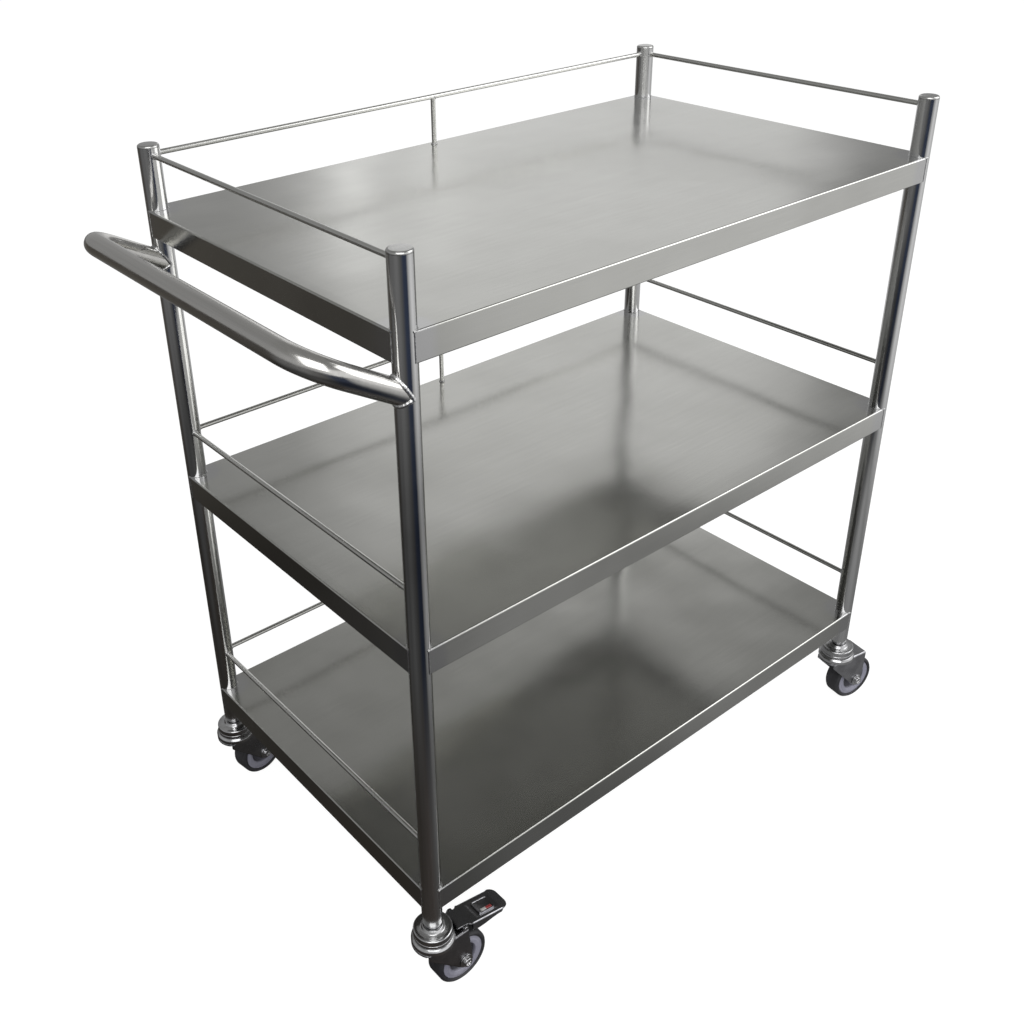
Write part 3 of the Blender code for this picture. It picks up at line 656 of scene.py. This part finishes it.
def make_handle():
    """U-bent tube. Its route is two straight legs and a bar joined by arcs of one bend radius."""
    low, high = (np.array(corner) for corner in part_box("push_handle"))
    bar_x = low[0] + TUBE
    bar_z = high[2] - TUBE
    taper = 0.010                # of each leg, towards the middle
    bend = 0.0455                # radius of the tube's bends
    drop = 0.0558                # of the legs' feet below the bar
    clear = TUBE * 2.4           # from a post's axis to the first whole ring of tube
    legs = [np.array((-POST_X, sign * POST_Y, bar_z - drop)) for sign in (-1, 1)]
    bends = [np.array((bar_x, sign * (POST_Y - taper), bar_z)) for sign in (-1, 1)]
    route = [legs[0], *corner_arc(legs[0], bends[0], bends[1], bend, 25),
             *corner_arc(bends[0], bends[1], legs[1], bend, 25), legs[1]]
    route = spaced(np.array(route), 0.006)
    tube = tube_along(route, TUBE)
    posts = (POSTS["front_left"], POSTS["back_left"])
    lines = [saddle(post, leg, corner_point - leg, TUBE * 0.999)
             for post, leg, corner_point in zip(posts, legs, bends)]
    away = [np.linalg.norm(route[:, :2] - post, axis=1) for post in posts]
    keep = (away[0] > clear) & (away[1] > clear)
    ends = [match_ring(lines[0], tube[keep][0]), match_ring(lines[1], tube[keep][-1])]
    grid = np.concatenate((ends[0][None], tube[keep], ends[1][None]))
    skin("handle_tube", [(closed_ends(grid), False, True)], HANDLE_TUBE, "frame",
         ["push_handle"], sharp=60.0)
    bead("handle_weld_front", lines[0], 0.0026, WELD_BRIGHT, pitch=0.0030)
    bead("handle_weld_back", lines[1], 0.0022, WELD_GROUND, pitch=0.0030)


def spaced(path, step):
    """The path's points taken afresh at an even distance along it."""
    length = np.concatenate(([0.0], np.cumsum(np.linalg.norm(np.diff(path, axis=0), axis=1))))
    places = np.linspace(0.0, length[-1], int(length[-1] / step))
    return np.stack([np.interp(places, length, path[:, axis]) for axis in range(3)], axis=-1)


def match_ring(line, ring):
    """A closed line's points, started and turned so that each lies nearest its match in a ring."""
    choices = [np.roll(way, shift, axis=0)
               for way in (line, line[::-1])
               for shift in range(len(line))]
    return min(choices, key=lambda choice: np.linalg.norm(choice - ring))


# --- Castors ------------------------------------------------------------------------------------


def castor_heading(corner):
    """Direction in which the castor trails, from its wheel's axis."""
    axis = JOINTS[f"wheel_spin_{corner}"]["axis"]
    return math.atan2(-axis[0], axis[1])


def place_castor(corner, points):
    """Points in a castor's own frame, X along its trail, brought to its post and its heading."""
    turn = castor_heading(corner)
    cosine, sine = math.cos(turn), math.sin(turn)
    x = points[..., 0] * cosine - points[..., 1] * sine + POSTS[corner][0]
    y = points[..., 0] * sine + points[..., 1] * cosine + POSTS[corner][1]
    return np.stack((x, y, points[..., 2]), axis=-1)


def about_axle(points):
    """Points turned about Z laid over, so that they turn about the castor's axle."""
    return np.stack((points[..., 0] + TRAIL, -points[..., 2], points[..., 1] + AXLE_Z), axis=-1)


def make_races(corner):
    """Stem with its collar, the upper race that stays with it, and the lower race of the swivel."""
    shaft, collar, rivet = 0.0060, 0.0105, 0.0090
    stem_top, collar_top, collar_foot = 0.1520, 0.1247, 0.1192
    stem = rounded([(0.0, stem_top, 0.0), (shaft, stem_top, 0.0008), (shaft, collar_top, 0.0),
                    (collar, collar_top, 0.0010), (collar, collar_foot, 0.0010),
                    (shaft, collar_foot - 0.0006, 0.0), (shaft, CROWN_Z - 0.0028, 0.0),
                    (rivet, CROWN_Z - 0.0028, 0.0008), (rivet - 0.0012, CROWN_Z - 0.0071, 0.0020),
                    (0.0, CROWN_Z - 0.0075, 0.0)])
    solid = place_castor(corner, revolve(stem, 40))
    skin(f"stem_{corner}", [(solid, False, True)], CHROME, "frame",
         [f"castor_stem_{corner}"])

    bore, cup_top, shoulder, groove, cup_foot = 0.0063, 0.1182, 0.1130, 0.1046, 0.1000
    upper = rounded([(bore, cup_foot, 0.0), (bore, cup_top, 0.0006), (0.0128, cup_top, 0.0012),
                     (0.0150, shoulder + 0.0013, 0.0020), (0.0200, shoulder, 0.0010),
                     (UPPER_RACE, shoulder, 0.0018), (UPPER_RACE, groove + 0.0006, 0.0006),
                     (UPPER_RACE - 0.0006, groove, 0.0003), (UPPER_RACE, groove - 0.0006, 0.0006),
                     (UPPER_RACE, cup_foot, 0.0010), (bore, cup_foot, 0.0)])
    solid = place_castor(corner, revolve(upper, 72))
    skin(f"race_upper_{corner}", [(solid, False, True)], CHROME, "frame",
         [f"castor_upper_race_{corner}"])

    floor, ring_top = CROWN_Z + 0.0003, 0.0997
    lower = rounded([(bore, floor, 0.0), (bore, ring_top, 0.0004), (0.0250, ring_top, 0.0016),
                     (LOWER_RACE, 0.0966, 0.0024), (LOWER_RACE, 0.0920, 0.0010),
                     (0.0262, floor, 0.0003), (bore, floor, 0.0)])
    solid = place_castor(corner, revolve(lower, 72))
    skin(f"race_lower_{corner}", [(solid, False, True)], CHROME, f"swivel_{corner}",
         [f"castor_lower_race_{corner}"])


def fork_outline(rear_x):
    """Lower edge of a fork's leg as (x, z): down the front to the eye, round it, and up the back."""
    eye, radius = np.array((TRAIL, AXLE_Z)), 0.0105
    front, rear = np.array((-0.0204, CROWN_Z - 0.0089)), np.array((rear_x, CROWN_Z - 0.0075))
    touch = []
    for point, side in ((front, 1), (rear, -1)):
        run = point - eye
        spread = math.acos(radius / np.linalg.norm(run))
        touch.append(math.atan2(run[1], run[0]) + side * spread)
    turn = np.linspace(touch[0], touch[1] + 2 * math.pi, 31)
    ring = eye + radius * np.column_stack((np.cos(turn), np.sin(turn)))
    down = front + (ring[0] - front) * np.linspace(0.0, 1.0, 13)[:-1, None]
    up = ring[-1] + (rear - ring[-1]) * np.linspace(0.0, 1.0, 9)[1:, None]
    return np.concatenate((down, ring, up))


def crown_line(across, height, rear_x, share):
    """Line across a fork's crown, from its front edge on the lower race's circle to its rear edge."""
    front = -math.sqrt(LOWER_RACE ** 2 - across ** 2)
    return upright_section(front + (rear_x - front) * share, across, np.full(len(share), height))


def make_fork(corner):
    """Pressed yoke: each leg is ruled between its lower outline and the bend, and the crown joins them.

    The crown's front edge follows the lower race: minus the root of the race's radius squared less the
    distance across squared.
    """
    rear_x = CROWN_REAR_BRAKED if corner in BRAKED else CROWN_REAR
    outline = fork_outline(rear_x)
    share = np.linspace(0.0, 1.0, len(outline))
    bend = 0.003
    top_front = -math.sqrt(LOWER_RACE ** 2 - FORK_HALF ** 2)
    top_line = top_front + (rear_x - top_front) * share
    rows = []
    for lift in np.linspace(0.0, 1.0, 9):
        x = outline[:, 0] * (1 - lift) + top_line * lift
        z = outline[:, 1] * (1 - lift) + (CROWN_Z - bend) * lift
        rows.append(upright_section(x, -FORK_HALF, z))
    for turn in np.linspace(0.2, math.pi / 2, 6):
        across = -(FORK_HALF - bend) - bend * math.cos(turn)
        rows.append(crown_line(across, CROWN_Z - bend + bend * math.sin(turn), rear_x, share))
    for across in np.linspace(-(FORK_HALF - bend), 0.0, 9)[1:]:
        rows.append(crown_line(across, CROWN_Z, rear_x, share))
    half = np.array(rows)
    grid = np.concatenate((half, half[-2::-1] * (1.0, -1.0, 1.0)))
    skin(f"fork_{corner}", [(place_castor(corner, grid), False, False)], DARK_CHROME,
         f"swivel_{corner}", [f"castor_fork_{corner}"], wall=FORK_SHEET, sharp=45.0)
    if corner in BRAKED:
        make_lugs(corner)


def pin_place(corner):
    """Distance of a pedal's pin from its post's axis, and the pin's height."""
    pin = JOINTS[f"brake_press_{corner}"]["pos_m"]
    return math.hypot(pin[0] - POSTS[corner][0], pin[1] - POSTS[corner][1]), pin[2]


def make_lugs(corner):
    """Two ears on the crown with rounded heads, which carry the pedal's pin."""
    pin_x, pin_z = pin_place(corner)
    half, rise, root = 0.0045, 0.0040, CROWN_Z - 0.0012
    turn = np.linspace(0.0, math.pi, 13)
    head = np.column_stack((pin_x + half * np.cos(turn), pin_z + rise * np.sin(turn)))
    outline = np.concatenate(([(pin_x + half, root)], head, [(pin_x - half, root)]))
    for side, sign in (("left", 1), ("right", -1)):
        layers = [upright_section(outline[:, 0], sign * across, outline[:, 1])
                  for across in LUG_FACES]
        grid = closed_ends(np.array(layers))
        skin(f"pedal_lug_{side}_{corner}", [(place_castor(corner, grid), False, True)], DARK_CHROME,
             f"swivel_{corner}")


def make_wheel(corner):
    """Axle with round heads, moulded centre with a recessed web, and tyre with a rounded tread."""
    grip = FORK_HALF + 0.0003
    head = [(0.0, grip + 0.0030, 0.0), (0.0034, grip + 0.0030, 0.0003),
            (0.0040, grip + 0.0052, 0.0005), (0.0062, grip + 0.0052, 0.0014),
            (0.0066, grip + 0.0014, 0.0004), (0.0096, grip + 0.0012, 0.0005),
            (0.0098, grip, 0.0003), (0.0040, grip, 0.0)]
    axle = about_axle(revolve(rounded(head + mirrored(head)), 48))
    skin(f"axle_{corner}", [(place_castor(corner, axle), False, True)], CHROME, f"swivel_{corner}",
         [f"castor_axle_{corner}"])

    bore, rim = 0.0043, 0.0308
    boss, web = 0.0155, 0.0070
    face = [(bore, boss, 0.0005), (0.0108, boss, 0.0010), (0.0122, web, 0.0010),
            (0.0192, web, 0.0012), (0.0210, RIM_FACE, 0.0010), (0.0262, 0.0128, 0.0006),
            (0.0268, RIM_FACE, 0.0004), (rim, 0.0120, 0.0004)]
    corners = [(bore, 0.0, 0.0)] + face + mirrored(face) + [(bore, 0.0, 0.0)]
    hub = about_axle(revolve(rounded(corners), 72))
    wheel = skin(f"wheel_{corner}", [(place_castor(corner, hub), False, True)], WHEEL_GREY,
                 f"wheel_{corner}", [f"castor_wheel_{corner}"])
    mark_groove_shade(wheel, corner)

    inner = 0.0311
    side = [(inner, 0.0125, 0.0006), (0.0338, 0.0140, 0.0012), (0.0352, 0.0134, 0.0010),
            (WHEEL, 0.0108, 0.0035), (WHEEL, 0.0004, 0.0)]
    corners = [(inner, 0.0, 0.0)] + side + [(WHEEL - 0.0002, 0.0, 0.0)]
    corners += mirrored(side) + [(inner, 0.0, 0.0)]
    tyre = about_axle(revolve(rounded(corners, 7), 96))
    skin(f"tyre_{corner}", [(place_castor(corner, tyre), False, True)], TYRE_BLACK, f"wheel_{corner}",
         [f"castor_tyre_{corner}"])


def point_positions(piece):
    """The piece's points as an array with one row for each."""
    points = np.empty(3 * len(piece.data.vertices))
    piece.data.vertices.foreach_get("co", points)
    return points.reshape(-1, 3)


def mark_groove_shade(wheel, corner):
    """Store how far each point of the wheel lies in the groove round its hub: 1 in it, 0 on the rim.

    The mark rises with the point's depth below the rim's face and falls off past the groove's radius.
    It masks the painted shade in that groove.
    """
    joint = JOINTS[f"wheel_spin_{corner}"]
    points = point_positions(wheel) - np.array(joint["pos_m"])
    across = np.abs(points @ np.array(joint["axis"]))
    radius = np.sqrt(np.maximum((points ** 2).sum(axis=1) - across ** 2, 0.0))
    deep = smooth_step(RIM_FACE - across, 0.0, 0.0040)
    mark = deep * (1 - smooth_step(radius, 0.0205, 0.0225))
    layer = wheel.data.attributes.new("recess_shade", "FLOAT", "POINT")
    layer.data.foreach_set("value", 0.85 * mark)


def smooth_step(value, start, end):
    """0 before start, 1 past end, and an S-shaped blend between."""
    share = np.clip((value - start) / (end - start), 0.0, 1.0)
    return share * share * (3 - 2 * share)


def place_pedal(corner, points):
    """Points in a pedal's own frame, X along it from its pin, brought to the pin and its slope."""
    pin_x, pin_z = pin_place(corner)
    cosine, sine = math.cos(PEDAL_SLOPE), math.sin(PEDAL_SLOPE)
    x = points[..., 0] * cosine + points[..., 2] * sine + pin_x
    z = points[..., 2] * cosine - points[..., 0] * sine + pin_z
    return place_castor(corner, np.stack((x, points[..., 1], z), axis=-1))


def make_pedal(corner):
    """Stamped pedal: a plate with a narrow neck, two pressed creases, and skirts folded down its sides.

    Along the pedal the half width goes from the neck's to the plate's by an S-shaped step, and rounds
    off at the tip by a quarter circle. Across it, points run up one skirt, over its bend, and down.
    """
    pin_x, _ = pin_place(corner)
    neck, wide, tip_round, bend = 0.0145, 0.0180, 0.010, 0.0022
    heel_radius = LOWER_RACE + 0.002
    heel = heel_radius * math.cos(math.asin(neck / heel_radius)) - pin_x
    along = np.concatenate((np.linspace(heel, 0.005, 12), np.linspace(0.006, 0.013, 12),
                            np.linspace(0.015, PEDAL_REACH - tip_round, 30),
                            PEDAL_REACH - tip_round * (1 - np.sin(np.linspace(0.1, math.pi / 2, 12)))))
    half = neck + (wide - neck) * smooth_step(along, 0.0050, 0.0115)
    into_tip = np.clip(along - (PEDAL_REACH - tip_round), 0.0, tip_round)
    half = half - tip_round + np.sqrt(tip_round ** 2 - into_tip ** 2)
    skirt = 0.0125 * smooth_step(along, 0.0108, 0.0135) - 0.0070 * smooth_step(along, 0.0200, 0.0600)
    skirt = skirt * (1 - smooth_step(along, 0.0602, 0.0625))
    crease = 0.0008 * (smooth_step(along, 0.0215, 0.0235) - smooth_step(along, 0.0560, 0.0580))
    fall = np.linspace(0.0, 1.0, 7)[:, None]
    turn = np.linspace(0.0, math.pi / 2, 6)[:, None]
    flat = np.linspace(-1.0, 1.0, 25)[1:-1, None]
    lip = np.minimum(bend, 0.0004 + skirt)
    rolled = half - lip
    y = np.concatenate((-half + 0 * fall, -(rolled + lip * np.cos(turn)), flat * rolled,
                        rolled + lip * np.cos(turn[::-1]), half + 0 * fall))
    z_side = PEDAL_TOP - lip - np.maximum(skirt - lip, 0.0) * (1 - fall)
    z_bend = PEDAL_TOP - lip + lip * np.sin(turn)
    panel = np.clip((0.8 - np.abs(flat)) / 0.12, 0.0, 1.0)
    z_flat = PEDAL_TOP - crease * panel
    z = np.concatenate((z_side, z_bend, z_flat, z_bend[::-1], z_side[::-1]))
    at_heel = np.sqrt(np.maximum(heel_radius ** 2 - y[:, 0] ** 2, 0.0)) - pin_x
    weight = 1 - smooth_step(along, heel, 0.0)
    x = along + (at_heel[:, None] - heel) * weight
    grid = np.stack((x, y, z), axis=-1)
    body = f"pedal_{corner}"
    skin(f"pedal_{corner}", [(place_pedal(corner, grid), False, False)], DARK_CHROME, body,
         [f"brake_pedal_{corner}"], wall=0.002, sharp=50.0)

    pin_profile = rounded([(0.0, 0.0185, 0.0), (0.0028, 0.0185, 0.0006), (0.0030, 0.0176, 0.0002),
                           (0.0020, 0.0176, 0.0), (0.0020, 0.0, 0.0)])
    whole = np.concatenate((pin_profile, pin_profile[::-1] * (1.0, -1.0)))
    rod = revolve(whole, 32)
    rod = np.stack((rod[..., 0], -rod[..., 2], rod[..., 1]), axis=-1)
    skin(f"pedal_pin_{corner}", [(place_pedal(corner, rod), False, True)], CHROME, body)
    make_window(corner)
    make_shoe(corner)


def make_window(corner):
    """Raised rectangular pad on the pedal, with a narrow two-colour insert along its near edge."""
    body = f"pedal_{corner}"
    half_length, half_width, soft = 0.01225, 0.0100, 0.0020
    outline = rounded([(0.0, -half_width, 0.0), (half_length, -half_width, soft),
                       (half_length, half_width, soft), (-half_length, half_width, soft),
                       (-half_length, -half_width, soft), (0.0, -half_width, 0.0)])
    outline = outline[:-1] + (0.0410, -0.0005)
    middle = outline.mean(axis=0)
    floor = PEDAL_TOP - 0.0009
    section = [(1.0, 0.0), (1.0, 0.0018), (0.97, 0.0025), (0.93, 0.0026), (0.89, 0.0020),
               (0.86, 0.0018)]
    rings = [np.column_stack((middle + (outline - middle) * share,
                              np.full(len(outline), floor + height)))
             for share, height in section]
    pad = place_pedal(corner, closed_ends(np.array(rings)))
    skin(f"pedal_window_{corner}", [(pad, False, True)], DARK_CHROME, body,
         sharp=40.0)
    u, v = np.meshgrid(np.linspace(-1, 1, 9), np.linspace(-1, 1, 5), indexing="ij")
    dome = floor + 0.0024 + 0.0003 * (1 - u ** 2) * (1 - v ** 2)
    top = np.stack((0.0415 + u * 0.0085, -0.0066 + v * 0.0020, dome), axis=-1)
    piece = skin(f"pedal_insert_{corner}", [(place_pedal(corner, top), False, False)],
                 PEDAL_INSERT, body, wall=0.0010)
    layer = piece.data.uv_layers.new(name="insert")
    turn = castor_heading(corner)
    along = point_positions(piece) @ np.array((math.cos(turn), math.sin(turn), 0.0))
    share = (along - along.min()) / (along.max() - along.min())
    loops = np.empty(len(piece.data.loops), dtype=np.int32)
    piece.data.loops.foreach_get("vertex_index", loops)
    layer.data.foreach_set("uv", np.column_stack((share[loops], np.zeros(len(loops)))).ravel())


def make_shoe(corner):
    """Rubber block under the pedal, its lower face hollowed to the tyre's circle when pressed home.

    The hollow's height at each x is the lower part of a circle of the tyre's radius and a small gap
    about the axle as the pressed pedal sees it.
    """
    pin_x, pin_z = pin_place(corner)
    pressed = PEDAL_SLOPE + math.radians(JOINTS[f"brake_press_{corner}"]["range_deg"][1])
    run_x, run_z = TRAIL - pin_x, AXLE_Z - pin_z
    eye_x = run_x * math.cos(pressed) - run_z * math.sin(pressed)
    eye_z = run_x * math.sin(pressed) + run_z * math.cos(pressed)
    along = np.linspace(0.0120, 0.0300, 25)
    under = eye_z + np.sqrt((WHEEL + 0.0005) ** 2 - (along - eye_x) ** 2)
    top = np.full(len(along), PEDAL_TOP - 0.0031)
    outline = np.column_stack((np.concatenate((along, along[::-1])), np.concatenate((under, top))))
    middle = outline.mean(axis=0)
    layers = []
    for across, share in ((-0.0100, 0.94), (-0.0094, 1.0), (0.0094, 1.0), (0.0100, 0.94)):
        shrunk = middle + (outline - middle) * share
        layers.append(upright_section(shrunk[:, 0], across, shrunk[:, 1]))
    block = place_pedal(corner, closed_ends(np.array(layers)))
    skin(f"shoe_{corner}", [(block, False, True)], SHOE_BLACK, f"pedal_{corner}",
         [f"brake_shoe_{corner}"])


# --- Camera, floor and light --------------------------------------------------------------------


def add_camera():
    """Camera a little above the cart's top, looking down along it from the handle's corner."""
    lens = bpy.data.cameras.new("camera")
    lens.lens = 41.47
    lens.shift_x, lens.shift_y = 0.0487, -0.0660
    lens.clip_start = 0.02
    camera = placed_object("camera", lens)
    heading, dip, roll = math.radians(-38.867), math.radians(28.889), math.radians(-1.376)
    forward = Vector((-math.sin(heading) * math.cos(dip), math.cos(heading) * math.cos(dip),
                      -math.sin(dip)))
    right = forward.cross(Vector((0.0, 0.0, 1.0))).normalized()
    up = right.cross(forward)
    tilted_right = math.cos(roll) * right + math.sin(roll) * up
    tilted_up = math.cos(roll) * up - math.sin(roll) * right
    matrix = camera.matrix_world.copy()
    for column, direction in enumerate((tilted_right, tilted_up, -forward)):
        for row in range(3):
            matrix[row][column] = direction[row]
    matrix.translation = (-0.9898, -1.0330, 1.3232)
    camera.matrix_world = matrix
    bpy.context.scene.camera = camera


def add_floor():
    """Pale, evenly bright floor for the camera. For every other ray the floor glows with painted
    surroundings instead: painted shade dark round the cart and painted light further out, by a ramp of
    the direction times a ramp of the distance. The steel shows this glow as a painted reflection.
    """
    u, v = np.meshgrid(np.linspace(-1, 1, 3), np.linspace(-1, 1, 3), indexing="ij")
    points = np.stack((u * FLOOR_HALF, v * FLOOR_HALF, 0.0 * u), axis=-1)
    mesh = bpy.data.meshes.new("floor")
    mesh.from_pydata(points.reshape(-1, 3).tolist(), [], quads(3, 3, False, False).tolist())
    floor = placed_object("floor", mesh)
    made, tree, shader, place = new_material("pale_floor", 0.0, Roughness=0.9)
    shader.inputs["Base Color"].default_value = (0.20, 0.20, 0.20, 1.0)
    shader.inputs["Specular IOR Level"].default_value = 0.0
    shader.inputs["Emission Color"].default_value = (1.0, 1.0, 1.0, 1.0)
    shader.inputs["Emission Strength"].default_value = 0.94
    from_cart = add_node(tree, "VectorMath", {0: place, 1: (0.30, 0.15, 0.0)},
                         operation="ADD").outputs[0]
    around, _ = around_z(tree, from_cart)
    # Painted reflection and light: brightness of the painted surroundings by direction round the cart.
    sides = ramp(tree, around, [(0.0, 0.17), (0.06, 0.19), (0.15, 0.10), (0.20, (0.04, 0.05, 0.08)),
                                (0.27, (0.03, 0.04, 0.07)), (0.30, 0.40), (0.37, 0.82), (0.42, 0.74),
                                (0.47, 0.58), (0.55, 0.56), (0.65, 0.68), (0.71, 0.22),
                                (0.80, (0.10, 0.092, 0.08)),
                                (0.85, (0.065, 0.060, 0.055)), (0.92, 0.15), (1.0, 0.15)])
    away = add_node(tree, "VectorMath", {0: from_cart}, operation="LENGTH").outputs["Value"]
    reach = ramp(tree, add_node(tree, "MapRange", {0: away, 1: 0.0, 2: 2.4}).outputs[0],
                 [(0.0, 0.15), (0.12, 0.20), (0.22, 0.40), (0.32, 0.40), (0.42, 0.34), (0.66, 0.80),
                  (0.85, 1.0)])
    far = mix_colours(tree, 1.0, sides, reach, "MULTIPLY")
    # Painted shade: the floor's glow close round the cart is kept dark.
    painted_near_shade = ramp(tree, around, [(0.0, (0.036, 0.032, 0.028)), (0.15, (0.060, 0.052, 0.048)),
                                (0.27, 0.09), (0.34, 0.13), (0.45, 0.11), (0.65, 0.09),
                                (0.85, (0.036, 0.032, 0.028))])
    blend = add_node(tree, "MapRange", {0: away, 1: 0.30, 2: 0.65}).outputs[0]
    painted_surroundings = mix_colours(tree, blend, painted_near_shade, far)
    # The floor glows with the painted surroundings for every ray but the camera's, so the steel
    # reflects them and the cart is lit by them.
    seen = add_node(tree, "LightPath").outputs["Is Camera Ray"]
    painted_glow = add_node(tree, "Emission", {0: painted_surroundings}).outputs[0]
    either = add_node(tree, "MixShader", {0: seen, 1: painted_glow, 2: shader.outputs[0]}).outputs[0]
    tree.links.new(either, tree.nodes["Material Output"].inputs["Surface"])
    mesh.materials.append(made)


def add_room():
    """Surroundings that the steel reflects: windows at the far side and dimmer walls elsewhere."""
    world = bpy.data.worlds.new("studio")
    bpy.context.scene.world = world
    world.use_nodes = True
    tree = world.node_tree
    background = tree.nodes["Background"]
    direction = add_node(tree, "TexCoord").outputs["Generated"]
    around, parts = around_z(tree, direction)
    walls = ramp(tree, around, [(0.00, 0.45), (0.15, 0.50), (0.25, 1.0), (0.42, 0.90), (0.50, 0.40),
                                (0.588, 0.28), (0.597, 0.82), (0.640, 0.86), (0.658, 0.82),
                                (0.663, 0.55), (0.672, 0.38), (0.80, 0.30), (1.00, 0.45)])
    height = add_node(tree, "MapRange", {0: parts.outputs[2], 1: 0.0, 2: 1.0}).outputs[0]
    ceiling = ramp(tree, height, [(0.0, 0.0), (0.485, 0.0), (0.60, 0.85), (0.75, 1.0)])
    mixed = mix_colours(tree, ceiling, walls, (0.27, 0.27, 0.265))
    across = ramp(tree, around, [(0.640, 0.0), (0.644, 0.35), (0.648, 0.0), (0.654, 0.0), (0.657, 1.0),
                                 (0.661, 0.0)])
    upward = ramp(tree, height, [(0.255, 0.0), (0.275, 1.0), (0.300, 1.0), (0.320, 0.0)])
    pane = mix_colours(tree, 1.0, across, upward, "MULTIPLY")
    bright = add_node(tree, "VectorMath", {0: pane, 1: (1.6, 1.6, 1.6)},
                      operation="MULTIPLY").outputs[0]
    lit = add_node(tree, "VectorMath", {0: mixed, 1: bright}, operation="ADD").outputs[0]
    seen = add_node(tree, "LightPath").outputs["Is Camera Ray"]
    tree.links.new(mix_colours(tree, seen, lit, (1.0, 1.0, 1.0)), background.inputs["Color"])


def add_light(name, place, target, size, power):
    """Large soft square light turned towards a point."""
    light = bpy.data.lights.new(name, "AREA")
    light.size = size
    light.energy = power
    lamp = placed_object(name, light)
    lamp.location = place
    lamp.rotation_euler = (Vector(target) - Vector(place)).to_track_quat("-Z", "Y").to_euler()


# --- Assembly -----------------------------------------------------------------------------------

add_camera()
for corner_name in CORNERS:
    make_post(corner_name)
    make_races(corner_name)
    make_fork(corner_name)
    make_wheel(corner_name)
    frame["nodes"][f"castor_socket_{corner_name}"].data.materials[0] = DARK_CHROME
for corner_name in BRAKED:
    make_pedal(corner_name)
for level_name in LEVELS:
    make_shelf(level_name)
    make_upright(level_name)
    make_rail(f"rail_{level_name}_left", 1)
    make_rail(f"rail_{level_name}_right", 1)
    make_rail(f"rail_{level_name}_back", 0)
    for corner_name in CORNERS:
        make_shelf_welds(level_name, corner_name)
make_handle()
add_floor()
add_room()
add_light("key", (-1.8, -2.2, 3.2), (0.0, 0.0, 0.5), 3.0, 70.0)
add_light("fill", (2.4, -1.6, 2.6), (0.0, 0.0, 0.5), 2.4, 40.0)
bpy.context.scene.view_settings.view_transform = "Standard"
